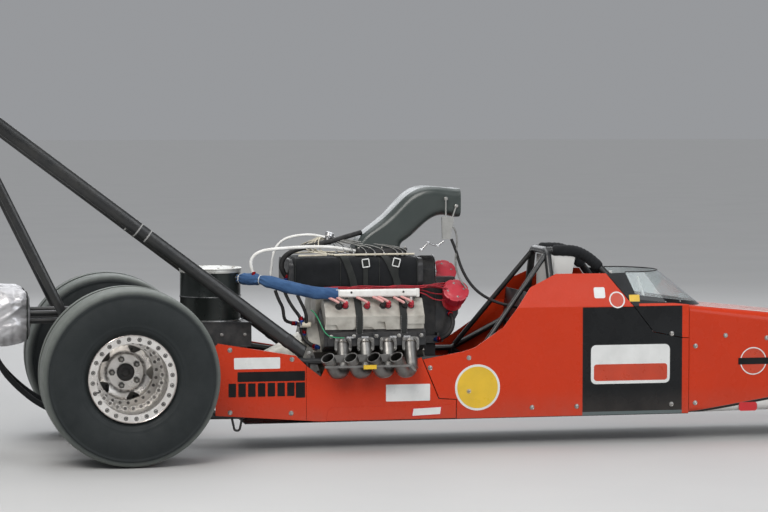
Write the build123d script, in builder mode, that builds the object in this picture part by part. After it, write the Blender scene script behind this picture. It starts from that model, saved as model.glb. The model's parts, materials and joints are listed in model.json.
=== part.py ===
from build123d import *
import os
from math import cos, radians, sin, tan

os.makedirs("parts", exist_ok=True)

# Supercharged rear-engine dragster. All sizes are in millimetres.
# The frame is +X forward, +Y left, +Z up, with the origin on the floor under the middle of the car.
# A station is a distance forward from the rear axle.

LENGTH = 9300
WHEELBASE = 7110
REAR_OVERHANG = 1420
REAR_AXLE_X = REAR_OVERHANG - LENGTH / 2
WING_REAR = -REAR_OVERHANG
NOSE_TIP = LENGTH - REAR_OVERHANG

REAR_TRACK = 1220
REAR_TYRE_RADIUS = 453
REAR_TYRE_WIDTH = 440
FRONT_TRACK = 850
FRONT_TYRE_RADIUS = 280
FRONT_TYRE_WIDTH = 66

BODY_HALF_WIDTH = 330
PANEL = 4
FLOOR_Z = 155
FRAME_Y = 300
RAIL_RADIUS = 16

CRANK_Z = 400
ENGINE_REAR = 1000
ENGINE_FRONT = 1620


def at(station, y, z):
    """A point given by its station, in the part's own frame."""
    return (REAR_AXLE_X + station, y, z)


def side_plane(y):
    """A plane in which sketches use (station, z). Its normal points to the right of the car."""
    return Plane(origin=(REAR_AXLE_X, y, 0), x_dir=(1, 0, 0), z_dir=(0, -1, 0))


def cross_plane(station):
    """A plane across the car in which sketches use (y, z). Its normal points forward."""
    return Plane(origin=at(station, 0, 0), x_dir=(0, 1, 0), z_dir=(1, 0, 0))


def level_plane(z):
    """A level plane in which sketches use (station, y). Its normal points up."""
    return Plane(origin=(REAR_AXLE_X, 0, z), x_dir=(1, 0, 0), z_dir=(0, 0, 1))


def wheel_plane(station, side, half_track, z):
    """A plane through a wheel's axis in which sketches use (outward from mid-plane, radius)."""
    return Plane(origin=at(station, side * half_track, z), x_dir=(0, side, 0), z_dir=(side, 0, 0))


def outline(plane, points):
    """A closed straight-sided profile on a plane."""
    with BuildSketch(plane) as profile:
        with BuildLine():
            Polyline(*points, close=True)
        make_face()
    return profile.sketch


def plate(points, y, thickness, mode=Mode.ADD):
    """A plate with a side outline, from y towards the right of the car."""
    extrude(outline(side_plane(y), points), amount=thickness, mode=mode)


def long_bar(points, rear, front, mode=Mode.ADD):
    """A bar along the car with a cross-section of (y, z) points."""
    extrude(outline(cross_plane(rear), points), amount=front - rear, mode=mode)


def tube(start, end, radius, mode=Mode.ADD):
    """A round bar between two points given as (station, y, z)."""
    first = Vector(*at(*start))
    run = Vector(*at(*end)) - first
    with BuildSketch(Plane(origin=first, z_dir=run)) as profile:
        Circle(radius)
    extrude(profile.sketch, amount=run.length, mode=mode)


def oval_tube(start, end, along, across, wall):
    """A hollow oval tube between two points in one side plane, its long axis in that plane."""
    first = Vector(*at(*start))
    run = Vector(*at(*end)) - first
    with BuildSketch(Plane(origin=first, x_dir=(0, 1, 0), z_dir=run)) as profile:
        Ellipse(across / 2, along / 2)
        Ellipse(across / 2 - wall, along / 2 - wall, mode=Mode.SUBTRACT)
    extrude(profile.sketch, amount=run.length)


def bent_bar(points, bends, radius, mode=Mode.ADD):
    """A round bar along straight runs joined by arcs, one radius for each bend."""
    with BuildLine() as path:
        FilletPolyline(*[at(*point) for point in points], radius=list(bends))
    with BuildSketch(Plane(origin=path.wire() @ 0, z_dir=path.wire() % 0)) as profile:
        Circle(radius)
    sweep(profile.sketch, path=path.wire(), mode=mode)


# Rear wheels: profiles are (outward from the wheel's mid-plane, radius from the axle)
BEAD_RADIUS = 203
RING_RADIUS = 222
RING_FACE = 205
BARREL_RADIUS = 181
DISC_FACE = -164
STUD_CIRCLE = 70.5
AXLE_Z = REAR_TYRE_RADIUS


def make_rear_tyre(side):
    axle = Axis(at(0, side * REAR_TRACK / 2, AXLE_Z), (0, 1, 0))
    plane = wheel_plane(0, side, REAR_TRACK / 2, AXLE_Z)
    with BuildPart() as tyre:
        with BuildSketch(plane):
            with BuildLine():
                Line((-182, RING_RADIUS + 4), (-180, BEAD_RADIUS))
                Line((-180, BEAD_RADIUS), (180, BEAD_RADIUS))
                Line((180, BEAD_RADIUS), (182, RING_RADIUS + 4))
                ThreePointArc((182, RING_RADIUS + 4), (REAR_TYRE_WIDTH / 2, 340), (206, 428))
                Line((206, 428), (190, 446))
                ThreePointArc((190, 446), (0, REAR_TYRE_RADIUS), (-190, 446))
                Line((-190, 446), (-206, 428))
                ThreePointArc((-206, 428), (-REAR_TYRE_WIDTH / 2, 340), (-182, RING_RADIUS + 4))
            make_face()
            with BuildLine():
                Line((-150, 190), (150, 190))
                Line((150, 190), (166, 226))
                ThreePointArc((166, 226), (206, 340), (186, 430))
                Line((186, 430), (-186, 430))
                ThreePointArc((-186, 430), (-206, 340), (-166, 226))
                Line((-166, 226), (-150, 190))
            make_face(mode=Mode.SUBTRACT)
        revolve(axis=axle)
    return tyre


RIM_BARREL = [
    (RING_FACE, BARREL_RADIUS), (RING_FACE, RING_RADIUS), (184, RING_RADIUS), (184, BEAD_RADIUS - 0.5),
    (150, BEAD_RADIUS - 0.5), (140, 189), (-140, 189), (-150, BEAD_RADIUS - 0.5),
    (-184, BEAD_RADIUS - 0.5), (-184, RING_RADIUS), (-190, RING_RADIUS), (-190, 196), (-156, 196),
    (-150, 184), (0, 184), (0, 172), (6, 172), (6, BARREL_RADIUS),
]
RIM_DISC = [
    (-178, 32), (DISC_FACE, 32), (DISC_FACE, 92), (-168, 98), (-152, 140), (-144, 144),
    (-144, 186), (-152, 186), (-158, 146), (-174, 102), (-178, 96),
]
WINDOW = [(138, -32), (138, 32), (106, 0)]
WINDOW_START = -2
TABS = 26
TAB_INNER = 157
TAB_LENGTH = 26
TAB_WIDTH = 24

with BuildPart() as rear_rims:
    with BuildSketch(wheel_plane(0, -1, REAR_TRACK / 2, AXLE_Z)):
        for section in (RIM_BARREL, RIM_DISC):
            with BuildLine():
                Polyline(*section, close=True)
            make_face()
    revolve(axis=Axis(at(0, -REAR_TRACK / 2, AXLE_Z), (0, 1, 0)))
    with BuildSketch(side_plane(-REAR_TRACK / 2 + 190)) as windows:
        with Locations((0, AXLE_Z)):
            with PolarLocations(0, 5, start_angle=WINDOW_START):
                with BuildLine():
                    Polyline(*WINDOW, close=True)
                make_face()
        fillet(windows.vertices(), radius=7)
    extrude(amount=50, mode=Mode.SUBTRACT)
    with BuildSketch(side_plane(-REAR_TRACK / 2 - 6)):
        with Locations((0, AXLE_Z)):
            with PolarLocations(TAB_INNER + TAB_LENGTH / 2, TABS):
                Rectangle(TAB_LENGTH, TAB_WIDTH)
    extrude(amount=12)
    mirror(about=Plane.XZ)
rear_rims.part.label = "rear_rims"
export_step(rear_rims.part, "parts/rear_rims.step")

rear_tyre_right = make_rear_tyre(-1)
rear_tyre_right.part.label = "rear_tyre_right"
export_step(rear_tyre_right.part, "parts/rear_tyre_right.step")

rear_tyre_left = make_rear_tyre(1)
rear_tyre_left.part.label = "rear_tyre_left"
export_step(rear_tyre_left.part, "parts/rear_tyre_left.step")

# Spool shaft with its hub drives and brake discs. Each drum is (inner y, outer y, radius).
SHAFT_RADIUS = 22
HUB_FACE = REAR_TRACK / 2 - 178
DISC_Y = 369
DISC_HALF = 5
DISC_RADIUS = 152
SHAFT_DRUMS = [
    (0, HUB_FACE, SHAFT_RADIUS), (DISC_Y - DISC_HALF, DISC_Y + DISC_HALF, DISC_RADIUS),
    (DISC_Y, 408, 55), (408, HUB_FACE, 96),
]

NUT_RADIUS = 17
NUT_HEIGHT = 18
CAP_RADIUS = 46
PAD_FACE_Y = REAR_TRACK / 2 + DISC_FACE

with BuildPart() as rear_axle_shaft:
    for inner, outer, radius in SHAFT_DRUMS:
        tube((0, -inner, AXLE_Z), (0, -outer, AXLE_Z), radius)
    with BuildSketch(side_plane(-PAD_FACE_Y)):
        with Locations((0, AXLE_Z)):
            with PolarLocations(STUD_CIRCLE, 5, start_angle=108):
                RegularPolygon(NUT_RADIUS, 6)
    extrude(amount=NUT_HEIGHT)
    with BuildSketch(side_plane(-PAD_FACE_Y)):
        with Locations((0, AXLE_Z)):
            Circle(CAP_RADIUS)
    extrude(amount=NUT_HEIGHT - 4)
    mirror(about=Plane.XZ)
rear_axle_shaft.part.label = "rear_axle_shaft"
export_step(rear_axle_shaft.part, "parts/rear_axle_shaft.step")

# Rear axle housing: a centre case with a tube to each side, bored for the shaft, and a brake caliper
# ahead of the axle on each side
SHAFT_CLEARANCE = 5
DISC_GAP = 6
CALIPER_STATION = 118
CALIPER_HALF = 16
CALIPER_ARM_Y = 348
CALIPER_ARM_HALF = 8
with BuildPart() as rear_axle_housing:
    with BuildSketch(Plane(origin=at(0, 0, AXLE_Z), x_dir=(0, 1, 0), z_dir=(1, 0, 0))):
        with BuildLine():
            Line((-352, 0), (-352, 66))
            Line((-352, 66), (-340, 66))
            Line((-340, 66), (-340, 44))
            Line((-340, 44), (-150, 44))
            Line((-150, 44), (-105, 100))
            ThreePointArc((-105, 100), (0, 158), (105, 100))
            Line((105, 100), (150, 44))
            Line((150, 44), (340, 44))
            Line((340, 44), (340, 66))
            Line((340, 66), (352, 66))
            Line((352, 66), (352, 0))
            Line((352, 0), (-352, 0))
        make_face()
    revolve(axis=Axis(at(0, 0, AXLE_Z), (0, 1, 0)))
    tube((0, 0, AXLE_Z), (205, 0, AXLE_Z), 74)
    for side in (-1, 1):
        with BuildSketch(side_plane(side * DISC_Y + CALIPER_HALF)):
            with Locations((CALIPER_STATION, AXLE_Z)):
                RectangleRounded(92, 120, 18)
        extrude(amount=2 * CALIPER_HALF)
        with BuildSketch(side_plane(side * CALIPER_ARM_Y + CALIPER_ARM_HALF)):
            with Locations((CALIPER_STATION / 2, AXLE_Z)):
                Rectangle(CALIPER_STATION, 70)
        extrude(amount=2 * CALIPER_ARM_HALF)
        with BuildSketch(side_plane(side * DISC_Y + DISC_HALF + DISC_GAP)):
            with Locations((0, AXLE_Z)):
                Circle(DISC_RADIUS + DISC_GAP)
        extrude(amount=2 * (DISC_HALF + DISC_GAP), mode=Mode.SUBTRACT)
    tube((0, -400, AXLE_Z), (0, 400, AXLE_Z), SHAFT_RADIUS + SHAFT_CLEARANCE, mode=Mode.SUBTRACT)
rear_axle_housing.part.label = "rear_axle_housing"
export_step(rear_axle_housing.part, "parts/rear_axle_housing.step")

# Chassis side trusses: rails and braces in one plane on each side, as (station, z) ends and a radius
TRUSS_BARS = [
    (-160, 200, 975, 190, RAIL_RADIUS),
    (975, 190, 3060, 185, RAIL_RADIUS),
    (-160, 660, 975, 475, RAIL_RADIUS),
    (975, 475, 1900, 479, RAIL_RADIUS),
    (1900, 479, 2330, 705, RAIL_RADIUS),
    (2330, 705, 3060, 700, RAIL_RADIUS),
    (-160, 200, -160, 660, RAIL_RADIUS),
    (500, 196, 500, 552, 12),
    (975, 190, 975, 475, RAIL_RADIUS),
    (1900, 187, 1900, 479, RAIL_RADIUS),
    (2330, 186, 2330, 705, RAIL_RADIUS),
    (3060, 185, 3060, 700, RAIL_RADIUS),
    (500, 552, 975, 190, 12),
    (1430, 189, 1430, 479, 12),
    (1900, 479, 2330, 186, 12),
    (2700, 186, 2700, 703, 12),
    (2700, 186, 3060, 700, 12),
]
TIE_DOWN = [(572, 190), (588, 116), (614, 116), (630, 190)]
END_PLATE = [(-150, 200), (150, 200), (210, 330), (210, 560), (120, 620), (-150, 660)]


with BuildPart() as frame_sides:
    for rear, rear_z, front, front_z, radius in TRUSS_BARS:
        tube((rear, -FRAME_Y, rear_z), (front, -FRAME_Y, front_z), radius)
    plate(END_PLATE, -FRAME_Y + 4, 8)
    bent_bar([(station, -FRAME_Y, z) for station, z in TIE_DOWN], (14, 14), 6)
    tube((0, -200, AXLE_Z), (0, -400, AXLE_Z), 44.2, mode=Mode.SUBTRACT)
    mirror(about=Plane.XZ)
frame_sides.part.label = "frame_sides"
export_step(frame_sides.part, "parts/frame_sides.step")

# Crossmembers join the trusses, as (station, z, radius). The rear one carries the parachutes' tubes.
CROSS_BARS = [
    (-160, 200, RAIL_RADIUS), (-160, 660, RAIL_RADIUS), (385, 571, 14), (680, 523, 14), (500, 196, 12),
    (940, 172, 14), (1900, 187, RAIL_RADIUS), (2330, 186, RAIL_RADIUS), (2330, 705, 12),
    (2700, 186, 12), (3060, 185, RAIL_RADIUS), (3060, 700, RAIL_RADIUS),
]
PARACHUTE_Y = 135
PACK_FRONT = -480
PACK_REAR = -770
PACK_TUBES_Z = (740, 700)
with BuildPart() as frame_crossmembers:
    for station, z, radius in CROSS_BARS:
        tube((station, -FRAME_Y, z), (station, FRAME_Y, z), radius)
    for y in (-PARACHUTE_Y, PARACHUTE_Y):
        for z in PACK_TUBES_Z:
            tube((-150, y, z), (PACK_FRONT, y, z), 15)
        plate([(-176, 640), (-144, 640), (-144, 764), (-176, 764)], y + 30, 60)
    add(frame_sides.part, mode=Mode.SUBTRACT)
frame_crossmembers.part.label = "frame_crossmembers"
export_step(frame_crossmembers.part, "parts/frame_crossmembers.step")

# Roll cage: a main hoop behind the driver, two halo bars ahead of it and two braces behind it
CAGE_RADIUS = 20
CAGE_TOP = 1040
with BuildPart() as roll_cage:
    bent_bar(
        [(2330, -284, 720), (2330, -230, 860), (2330, -150, CAGE_TOP), (2330, 150, CAGE_TOP),
         (2330, 230, 860), (2330, 284, 720)],
        [120, 70, 70, 120],
        CAGE_RADIUS,
    )
    for side in (-1, 1):
        bent_bar(
            [(2330, side * 140, CAGE_TOP), (2500, side * 145, CAGE_TOP), (2585, side * 165, 988),
             (2690, side * 215, 865), (2860, side * 285, 700)],
            [70, 80, 120],
            CAGE_RADIUS,
        )
        tube((2330, side * 150, 1030), (1915, side * 285, 500), 14)
    add(frame_sides.part, mode=Mode.SUBTRACT)
    add(frame_crossmembers.part, mode=Mode.SUBTRACT)
roll_cage.part.label = "roll_cage"
export_step(roll_cage.part, "parts/roll_cage.step")

# Belly pan: thin floor under the chassis, with the firewall that stands on it behind the seat
FIREWALL = 2196
FIREWALL_OUTLINE = [(-282, 154), (282, 154), (282, 690), (228, 820), (-228, 820), (-282, 690)]
with BuildPart() as belly_pan:
    with BuildSketch(level_plane(FLOOR_Z - PANEL)):
        with BuildLine():
            Polyline((640, -322), (3085, -322), (3085, 322), (640, 322), close=True)
        make_face()
    extrude(amount=PANEL)
    long_bar(FIREWALL_OUTLINE, FIREWALL, FIREWALL + PANEL)
belly_pan.part.label = "belly_pan"
export_step(belly_pan.part, "parts/belly_pan.step")

# Side panels. Each outline is a list of (station, z) points; the left one mirrors the right one.
REAR_PANEL = [(483, 200), (966, 163), (966, 457), (912, 508), (498, 579), (483, 566)]
ENGINE_PANEL = [
    (968, 163), (1050, 157), (1780, 157), (1780, 256), (1684, 262), (1590, 488), (1560, 478),
    (1075, 456), (1046, 394), (968, 454),
]
SILL_STRIP = [(1072, 159), (1778, 159), (1778, 226), (1762, 230), (1110, 230), (1084, 214)]
COCKPIT_PANEL = [
    (1784, FLOOR_Z), (3083, FLOOR_Z), (3083, 564), (3040, 567), (2880, 600), (2630, 920), (2350, 920),
    (2200, 850), (2040, 640), (1884, 535), (1820, 515), (1600, 476), (1688, 267), (1784, 260),
]
COWL_SIDE = [
    (2634, 920), (2740, 922), (2797, 778), (3083, 748), (3083, 568), (3041, 571), (2883, 604),
]
LIP = 24

with BuildPart() as rear_side_panels:
    plate(REAR_PANEL, -BODY_HALF_WIDTH + PANEL, PANEL)
    plate([(498, 579), (912, 508), (912, 504), (498, 575)], -BODY_HALF_WIDTH + LIP, LIP - PANEL / 2)
    mirror(about=Plane.XZ)
rear_side_panels.part.label = "rear_side_panels"
export_step(rear_side_panels.part, "parts/rear_side_panels.step")

with BuildPart() as engine_side_panels:
    plate(ENGINE_PANEL, -BODY_HALF_WIDTH + PANEL, PANEL)
    plate(SILL_STRIP, -BODY_HALF_WIDTH, 3)
    mirror(about=Plane.XZ)
engine_side_panels.part.label = "engine_side_panels"
export_step(engine_side_panels.part, "parts/engine_side_panels.step")

# The cockpit's sides stand upright to the shoulder line, then lean in to the opening
SHOULDER_Z = 745
DECK_TOP = SHOULDER_Z - 3
DECK_OPENING = 296
OPENING_HALF_WIDTH = 262
OPENING_Z = 925
SIDE_SECTION = [
    (-BODY_HALF_WIDTH, FLOOR_Z), (-BODY_HALF_WIDTH, SHOULDER_Z), (-OPENING_HALF_WIDTH, OPENING_Z),
    (-OPENING_HALF_WIDTH + PANEL, OPENING_Z), (-BODY_HALF_WIDTH + PANEL, SHOULDER_Z - 1),
    (-BODY_HALF_WIDTH + PANEL, FLOOR_Z),
]

with BuildPart() as cockpit_side_panels:
    long_bar(SIDE_SECTION, 1560, 3100)
    plate(COCKPIT_PANEL, 0, 400, mode=Mode.INTERSECT)
    mirror(about=Plane.XZ)
cockpit_side_panels.part.label = "cockpit_side_panels"
export_step(cockpit_side_panels.part, "parts/cockpit_side_panels.step")

with BuildPart() as cockpit_cowl:
    long_bar(SIDE_SECTION, 2600, 3083)
    plate(COWL_SIDE, 0, 400, mode=Mode.INTERSECT)
    mirror(about=Plane.XZ)
    with BuildSketch(level_plane(DECK_TOP - PANEL)):
        with BuildLine():
            Polyline((2797, -326), (3083, -326), (3083, 326), (2797, 326), close=True)
        make_face()
        with BuildLine():
            Line((2790, -DECK_OPENING), (2950, -DECK_OPENING))
            ThreePointArc((2950, -DECK_OPENING), (3066, 0), (2950, DECK_OPENING))
            Line((2950, DECK_OPENING), (2790, DECK_OPENING))
            Line((2790, DECK_OPENING), (2790, -DECK_OPENING))
        make_face(mode=Mode.SUBTRACT)
    extrude(amount=PANEL)
cockpit_cowl.part.label = "cockpit_cowl"
export_step(cockpit_cowl.part, "parts/cockpit_cowl.step")

# Nose: rounded sections as (station, half width, bottom z, shoulder z, crown, corner radius)
NOSE_SECTIONS = [
    (3086, 330, 155, 741, 4, 30),
    (3540, 324, 158, 694, 12, 45),
    (5200, 252, 146, 515, 12, 45),
    (7200, 150, 122, 300, 10, 40),
]
CONE_SECTIONS = [
    (7202, 150, 122, 300, 10, 40),
    (7480, 124, 122, 252, 10, 36),
    (7700, 84, 128, 196, 6, 24),
]
SPLIT_LINE = [(3080, 565), (3540, 540), (7300, 262)]
FRONT_AXLE_Z = FRONT_TYRE_RADIUS
STEERING_ARM = 120
TIE_ROD_Z = 272


def body_section(station, half, bottom, shoulder, crown, corner):
    """One rounded section of the nose: flat floor, upright sides and a crowned top."""
    with BuildSketch(cross_plane(station)) as section:
        with BuildLine():
            Line((-half, bottom), (half, bottom))
            Line((half, bottom), (half, shoulder))
            ThreePointArc((half, shoulder), (0, shoulder + crown), (-half, shoulder))
            Line((-half, shoulder), (-half, bottom))
        make_face()
        fillet(section.vertices().group_by(Axis.Z)[-1], radius=corner)
    return section.sketch


def make_nose_half(upper):
    """The nose above or below its split line, open at the rear for the driver's legs."""
    keep = SPLIT_LINE + ([(7300, 900), (3080, 900)] if upper else [(7300, 60), (3080, 60)])
    sections = []
    for station, half, bottom, shoulder, crown, corner in NOSE_SECTIONS:
        sections.append(body_section(station, half, bottom, shoulder, crown, corner))
    with BuildPart() as nose:
        loft(sections, ruled=True)
        plate(keep, 400, 800, mode=Mode.INTERSECT)
        long_bar([(-296, 170), (296, 170), (296, 650), (-296, 650)], 3000, 3760, mode=Mode.SUBTRACT)
        tube((WHEELBASE, -200, FRONT_AXLE_Z), (WHEELBASE, 200, FRONT_AXLE_Z), 23, mode=Mode.SUBTRACT)
        long_bar(
            [(-200, TIE_ROD_Z - 20), (200, TIE_ROD_Z - 20), (200, TIE_ROD_Z + 20), (-200, TIE_ROD_Z + 20)],
            WHEELBASE - STEERING_ARM - 22, WHEELBASE - STEERING_ARM + 22, mode=Mode.SUBTRACT,
        )
    return nose


nose_upper = make_nose_half(True)
nose_upper.part.label = "nose_upper"
export_step(nose_upper.part, "parts/nose_upper.step")

nose_lower = make_nose_half(False)
nose_lower.part.label = "nose_lower"
export_step(nose_lower.part, "parts/nose_lower.step")

# Windscreen: U-shaped sections at its foot and its rim, as (z, rear, corner, front, half width)
GLASS = 3
GLASS_RINGS = [(714, 2808, 2990, 3260, 319), (926, 2742, 2850, 2990, 252)]

with BuildPart() as windscreen:
    for z, rear, corner, front, half in GLASS_RINGS:
        with BuildSketch(level_plane(z)):
            with BuildLine():
                Line((rear, -half), (corner, -half))
                ThreePointArc((corner, -half), (front, 0), (corner, half))
                Line((corner, half), (rear, half))
                Line((rear, half), (rear, half - GLASS))
                Line((rear, half - GLASS), (corner, half - GLASS))
                ThreePointArc((corner, half - GLASS), (front - GLASS, 0), (corner, GLASS - half))
                Line((corner, GLASS - half), (rear, GLASS - half))
                Line((rear, GLASS - half), (rear, -half))
            make_face()
    loft(ruled=True)
    plate([(2700, 700), (3085, 700), (3085, DECK_TOP), (2700, DECK_TOP)], 400, 800, mode=Mode.SUBTRACT)
    add(nose_upper.part, mode=Mode.SUBTRACT)
windscreen.part.label = "windscreen"
export_step(windscreen.part, "parts/windscreen.step")

# Front wing: an inverted aerofoil under the nose cone, with end plates
WING_CHORD = 320
FRONT_SPAN = 450
FRONT_WING_SECTION_Z = 128
with BuildPart() as front_wing:
    with BuildSketch(side_plane(FRONT_SPAN)):
        with BuildLine():
            Line((NOSE_TIP - WING_CHORD, FRONT_WING_SECTION_Z + 22), (NOSE_TIP - 6, FRONT_WING_SECTION_Z))
            ThreePointArc(
                (NOSE_TIP - 6, FRONT_WING_SECTION_Z), (NOSE_TIP, FRONT_WING_SECTION_Z - 8),
                (NOSE_TIP - 8, FRONT_WING_SECTION_Z - 15),
            )
            ThreePointArc(
                (NOSE_TIP - 8, FRONT_WING_SECTION_Z - 15), (NOSE_TIP - 120, FRONT_WING_SECTION_Z - 26),
                (NOSE_TIP - WING_CHORD, FRONT_WING_SECTION_Z + 18),
            )
            Line(
                (NOSE_TIP - WING_CHORD, FRONT_WING_SECTION_Z + 18),
                (NOSE_TIP - WING_CHORD, FRONT_WING_SECTION_Z + 22),
            )
        make_face()
    extrude(amount=2 * FRONT_SPAN)
    for y in (FRONT_SPAN, -FRONT_SPAN + PANEL):
        plate([(7552, 92), (NOSE_TIP, 92), (NOSE_TIP, 140), (7700, 205), (7552, 205)], y, PANEL)
front_wing.part.label = "front_wing"
export_step(front_wing.part, "parts/front_wing.step")

with BuildPart() as nose_cone:
    loft([body_section(*section) for section in CONE_SECTIONS], ruled=True)
    add(front_wing.part, mode=Mode.SUBTRACT)
nose_cone.part.label = "nose_cone"
export_step(nose_cone.part, "parts/nose_cone.step")

# Front axle beam with an upright eye at each end
KINGPIN_Y = 360
EYE_RADIUS = 17
EYE_HALF = 20
PIN_RADIUS = 9
with BuildPart() as front_axle:
    tube((WHEELBASE, -KINGPIN_Y, FRONT_AXLE_Z), (WHEELBASE, KINGPIN_Y, FRONT_AXLE_Z), 22)
    for side in (-1, 1):
        low = (WHEELBASE, side * KINGPIN_Y, FRONT_AXLE_Z - 60)
        high = (WHEELBASE, side * KINGPIN_Y, FRONT_AXLE_Z + 60)
        bottom = (WHEELBASE, side * KINGPIN_Y, FRONT_AXLE_Z - EYE_HALF)
        top = (WHEELBASE, side * KINGPIN_Y, FRONT_AXLE_Z + EYE_HALF)
        outer = (WHEELBASE, side * (KINGPIN_Y + 40), FRONT_AXLE_Z)
        middle = (WHEELBASE, side * KINGPIN_Y, FRONT_AXLE_Z)
        tube(low, high, EYE_RADIUS + 8, mode=Mode.SUBTRACT)
        tube((WHEELBASE, side * (KINGPIN_Y - 26), FRONT_AXLE_Z), middle, 15)
        tube(bottom, top, EYE_RADIUS)
        tube(low, high, PIN_RADIUS + 0.1, mode=Mode.SUBTRACT)
front_axle.part.label = "front_axle"
export_step(front_axle.part, "parts/front_axle.step")

# Knuckles: a fork round the axle's eye, a spindle outwards and a steering arm rearwards
FORK_GAP = 0.5
LUG = 14
ARM_THICK = 12
SPINDLE_RADIUS = 10
HUB_INNER_Y = FRONT_TRACK / 2 - 34


def make_knuckle(side):
    eye_top = FRONT_AXLE_Z + EYE_HALF + FORK_GAP
    eye_bottom = FRONT_AXLE_Z - EYE_HALF - FORK_GAP
    with BuildPart() as knuckle:
        for z in (eye_top, eye_bottom - LUG):
            with BuildSketch(level_plane(z)):
                with Locations((WHEELBASE, side * (KINGPIN_Y + 4))):
                    SlotCenterToCenter(8, 34, rotation=90)
            extrude(amount=LUG)
        with BuildSketch(level_plane(eye_bottom - LUG)):
            with Locations((WHEELBASE, side * (HUB_INNER_Y - 10))):
                Rectangle(34, 8)
        extrude(amount=eye_top - eye_bottom + 2 * LUG)
        tube(
            (WHEELBASE, side * KINGPIN_Y, eye_bottom - LUG), (WHEELBASE, side * KINGPIN_Y, eye_top + LUG),
            PIN_RADIUS,
        )
        with BuildSketch(level_plane(eye_bottom - LUG)):
            with Locations((WHEELBASE - STEERING_ARM / 2, side * KINGPIN_Y)):
                SlotCenterToCenter(STEERING_ARM, 22)
        extrude(amount=ARM_THICK)
        tube(
            (WHEELBASE - STEERING_ARM, side * KINGPIN_Y, eye_bottom - LUG),
            (WHEELBASE - STEERING_ARM, side * KINGPIN_Y, TIE_ROD_Z + 12), 6,
        )
        tube(
            (WHEELBASE, side * (HUB_INNER_Y - 8), FRONT_AXLE_Z),
            (WHEELBASE, side * (FRONT_TRACK / 2 + 22), FRONT_AXLE_Z), SPINDLE_RADIUS,
        )
    return knuckle


front_knuckle_right = make_knuckle(-1)
front_knuckle_right.part.label = "front_knuckle_right"
export_step(front_knuckle_right.part, "parts/front_knuckle_right.step")

front_knuckle_left = make_knuckle(1)
front_knuckle_left.part.label = "front_knuckle_left"
export_step(front_knuckle_left.part, "parts/front_knuckle_left.step")

# Tie rod: its left eye runs on the left arm's pin, and its right eye is open by half a millimetre
with BuildPart() as tie_rod:
    arm_station = WHEELBASE - STEERING_ARM
    tube((arm_station, -KINGPIN_Y, TIE_ROD_Z), (arm_station, KINGPIN_Y, TIE_ROD_Z), 8)
    for side, bore in ((1, 6.1), (-1, 6.5)):
        y = side * KINGPIN_Y
        tube((arm_station, y, TIE_ROD_Z - 9), (arm_station, y, TIE_ROD_Z + 9), 13)
        tube((arm_station, y, TIE_ROD_Z - 30), (arm_station, y, TIE_ROD_Z + 30), bore, mode=Mode.SUBTRACT)
tie_rod.part.label = "tie_rod"
export_step(tie_rod.part, "parts/tie_rod.step")


# Front wheels: profiles are (outward from the mid-plane, radius)
HUB_CLEARANCE = 0.05
SPOKES = 6
SPOKE_THICKNESS = 12
SPOKE = [(40, -19), (204, -11), (204, 11), (40, 19)]


def make_front_tyre(side):
    with BuildPart() as tyre:
        with BuildSketch(wheel_plane(WHEELBASE, side, FRONT_TRACK / 2, FRONT_AXLE_Z)):
            with BuildLine():
                Line((-26, 217), (26, 217))
                Line((26, 217), (26, 223))
                Line((26, 223), (31, 229))
                ThreePointArc((31, 229), (FRONT_TYRE_WIDTH / 2, 250), (28, 268))
                ThreePointArc((28, 268), (0, FRONT_TYRE_RADIUS), (-28, 268))
                ThreePointArc((-28, 268), (-FRONT_TYRE_WIDTH / 2, 250), (-31, 229))
                Line((-31, 229), (-26, 223))
                Line((-26, 223), (-26, 217))
            make_face()
        revolve(axis=Axis(at(WHEELBASE, side * FRONT_TRACK / 2, FRONT_AXLE_Z), (0, 1, 0)))
    return tyre


def make_front_rim(side):
    rim_section = [
        (-32, 222), (-32, 206), (-14, 200), (14, 200), (32, 206), (32, 222), (26.5, 222), (26.5, 216.5),
        (-26.5, 216.5), (-26.5, 222),
    ]
    bore = SPINDLE_RADIUS + HUB_CLEARANCE
    hub_section = [(-34, bore), (34, bore), (34, 30), (20, 44), (-20, 44), (-34, 30)]
    inner = at(WHEELBASE, side * (FRONT_TRACK / 2 - SPOKE_THICKNESS / 2), FRONT_AXLE_Z)
    spoke_plane = Plane(origin=inner, x_dir=(1, 0, 0), z_dir=(0, side, 0))
    with BuildPart() as rim:
        with BuildSketch(wheel_plane(WHEELBASE, side, FRONT_TRACK / 2, FRONT_AXLE_Z)):
            for section in (rim_section, hub_section):
                with BuildLine():
                    Polyline(*section, close=True)
                make_face()
        revolve(axis=Axis(at(WHEELBASE, side * FRONT_TRACK / 2, FRONT_AXLE_Z), (0, 1, 0)))
        with BuildSketch(spoke_plane) as spokes:
            with PolarLocations(0, SPOKES, start_angle=90):
                with BuildLine():
                    Polyline(*SPOKE, close=True)
                make_face()
        extrude(spokes.sketch, amount=SPOKE_THICKNESS)
    return rim


front_tyre_right = make_front_tyre(-1)
front_tyre_right.part.label = "front_tyre_right"
export_step(front_tyre_right.part, "parts/front_tyre_right.step")

front_tyre_left = make_front_tyre(1)
front_tyre_left.part.label = "front_tyre_left"
export_step(front_tyre_left.part, "parts/front_tyre_left.step")

front_rim_right = make_front_rim(-1)
front_rim_right.part.label = "front_rim_right"
export_step(front_rim_right.part, "parts/front_rim_right.step")

front_rim_left = make_front_rim(1)
front_rim_left.part.label = "front_rim_left"
export_step(front_rim_left.part, "parts/front_rim_left.step")

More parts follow.
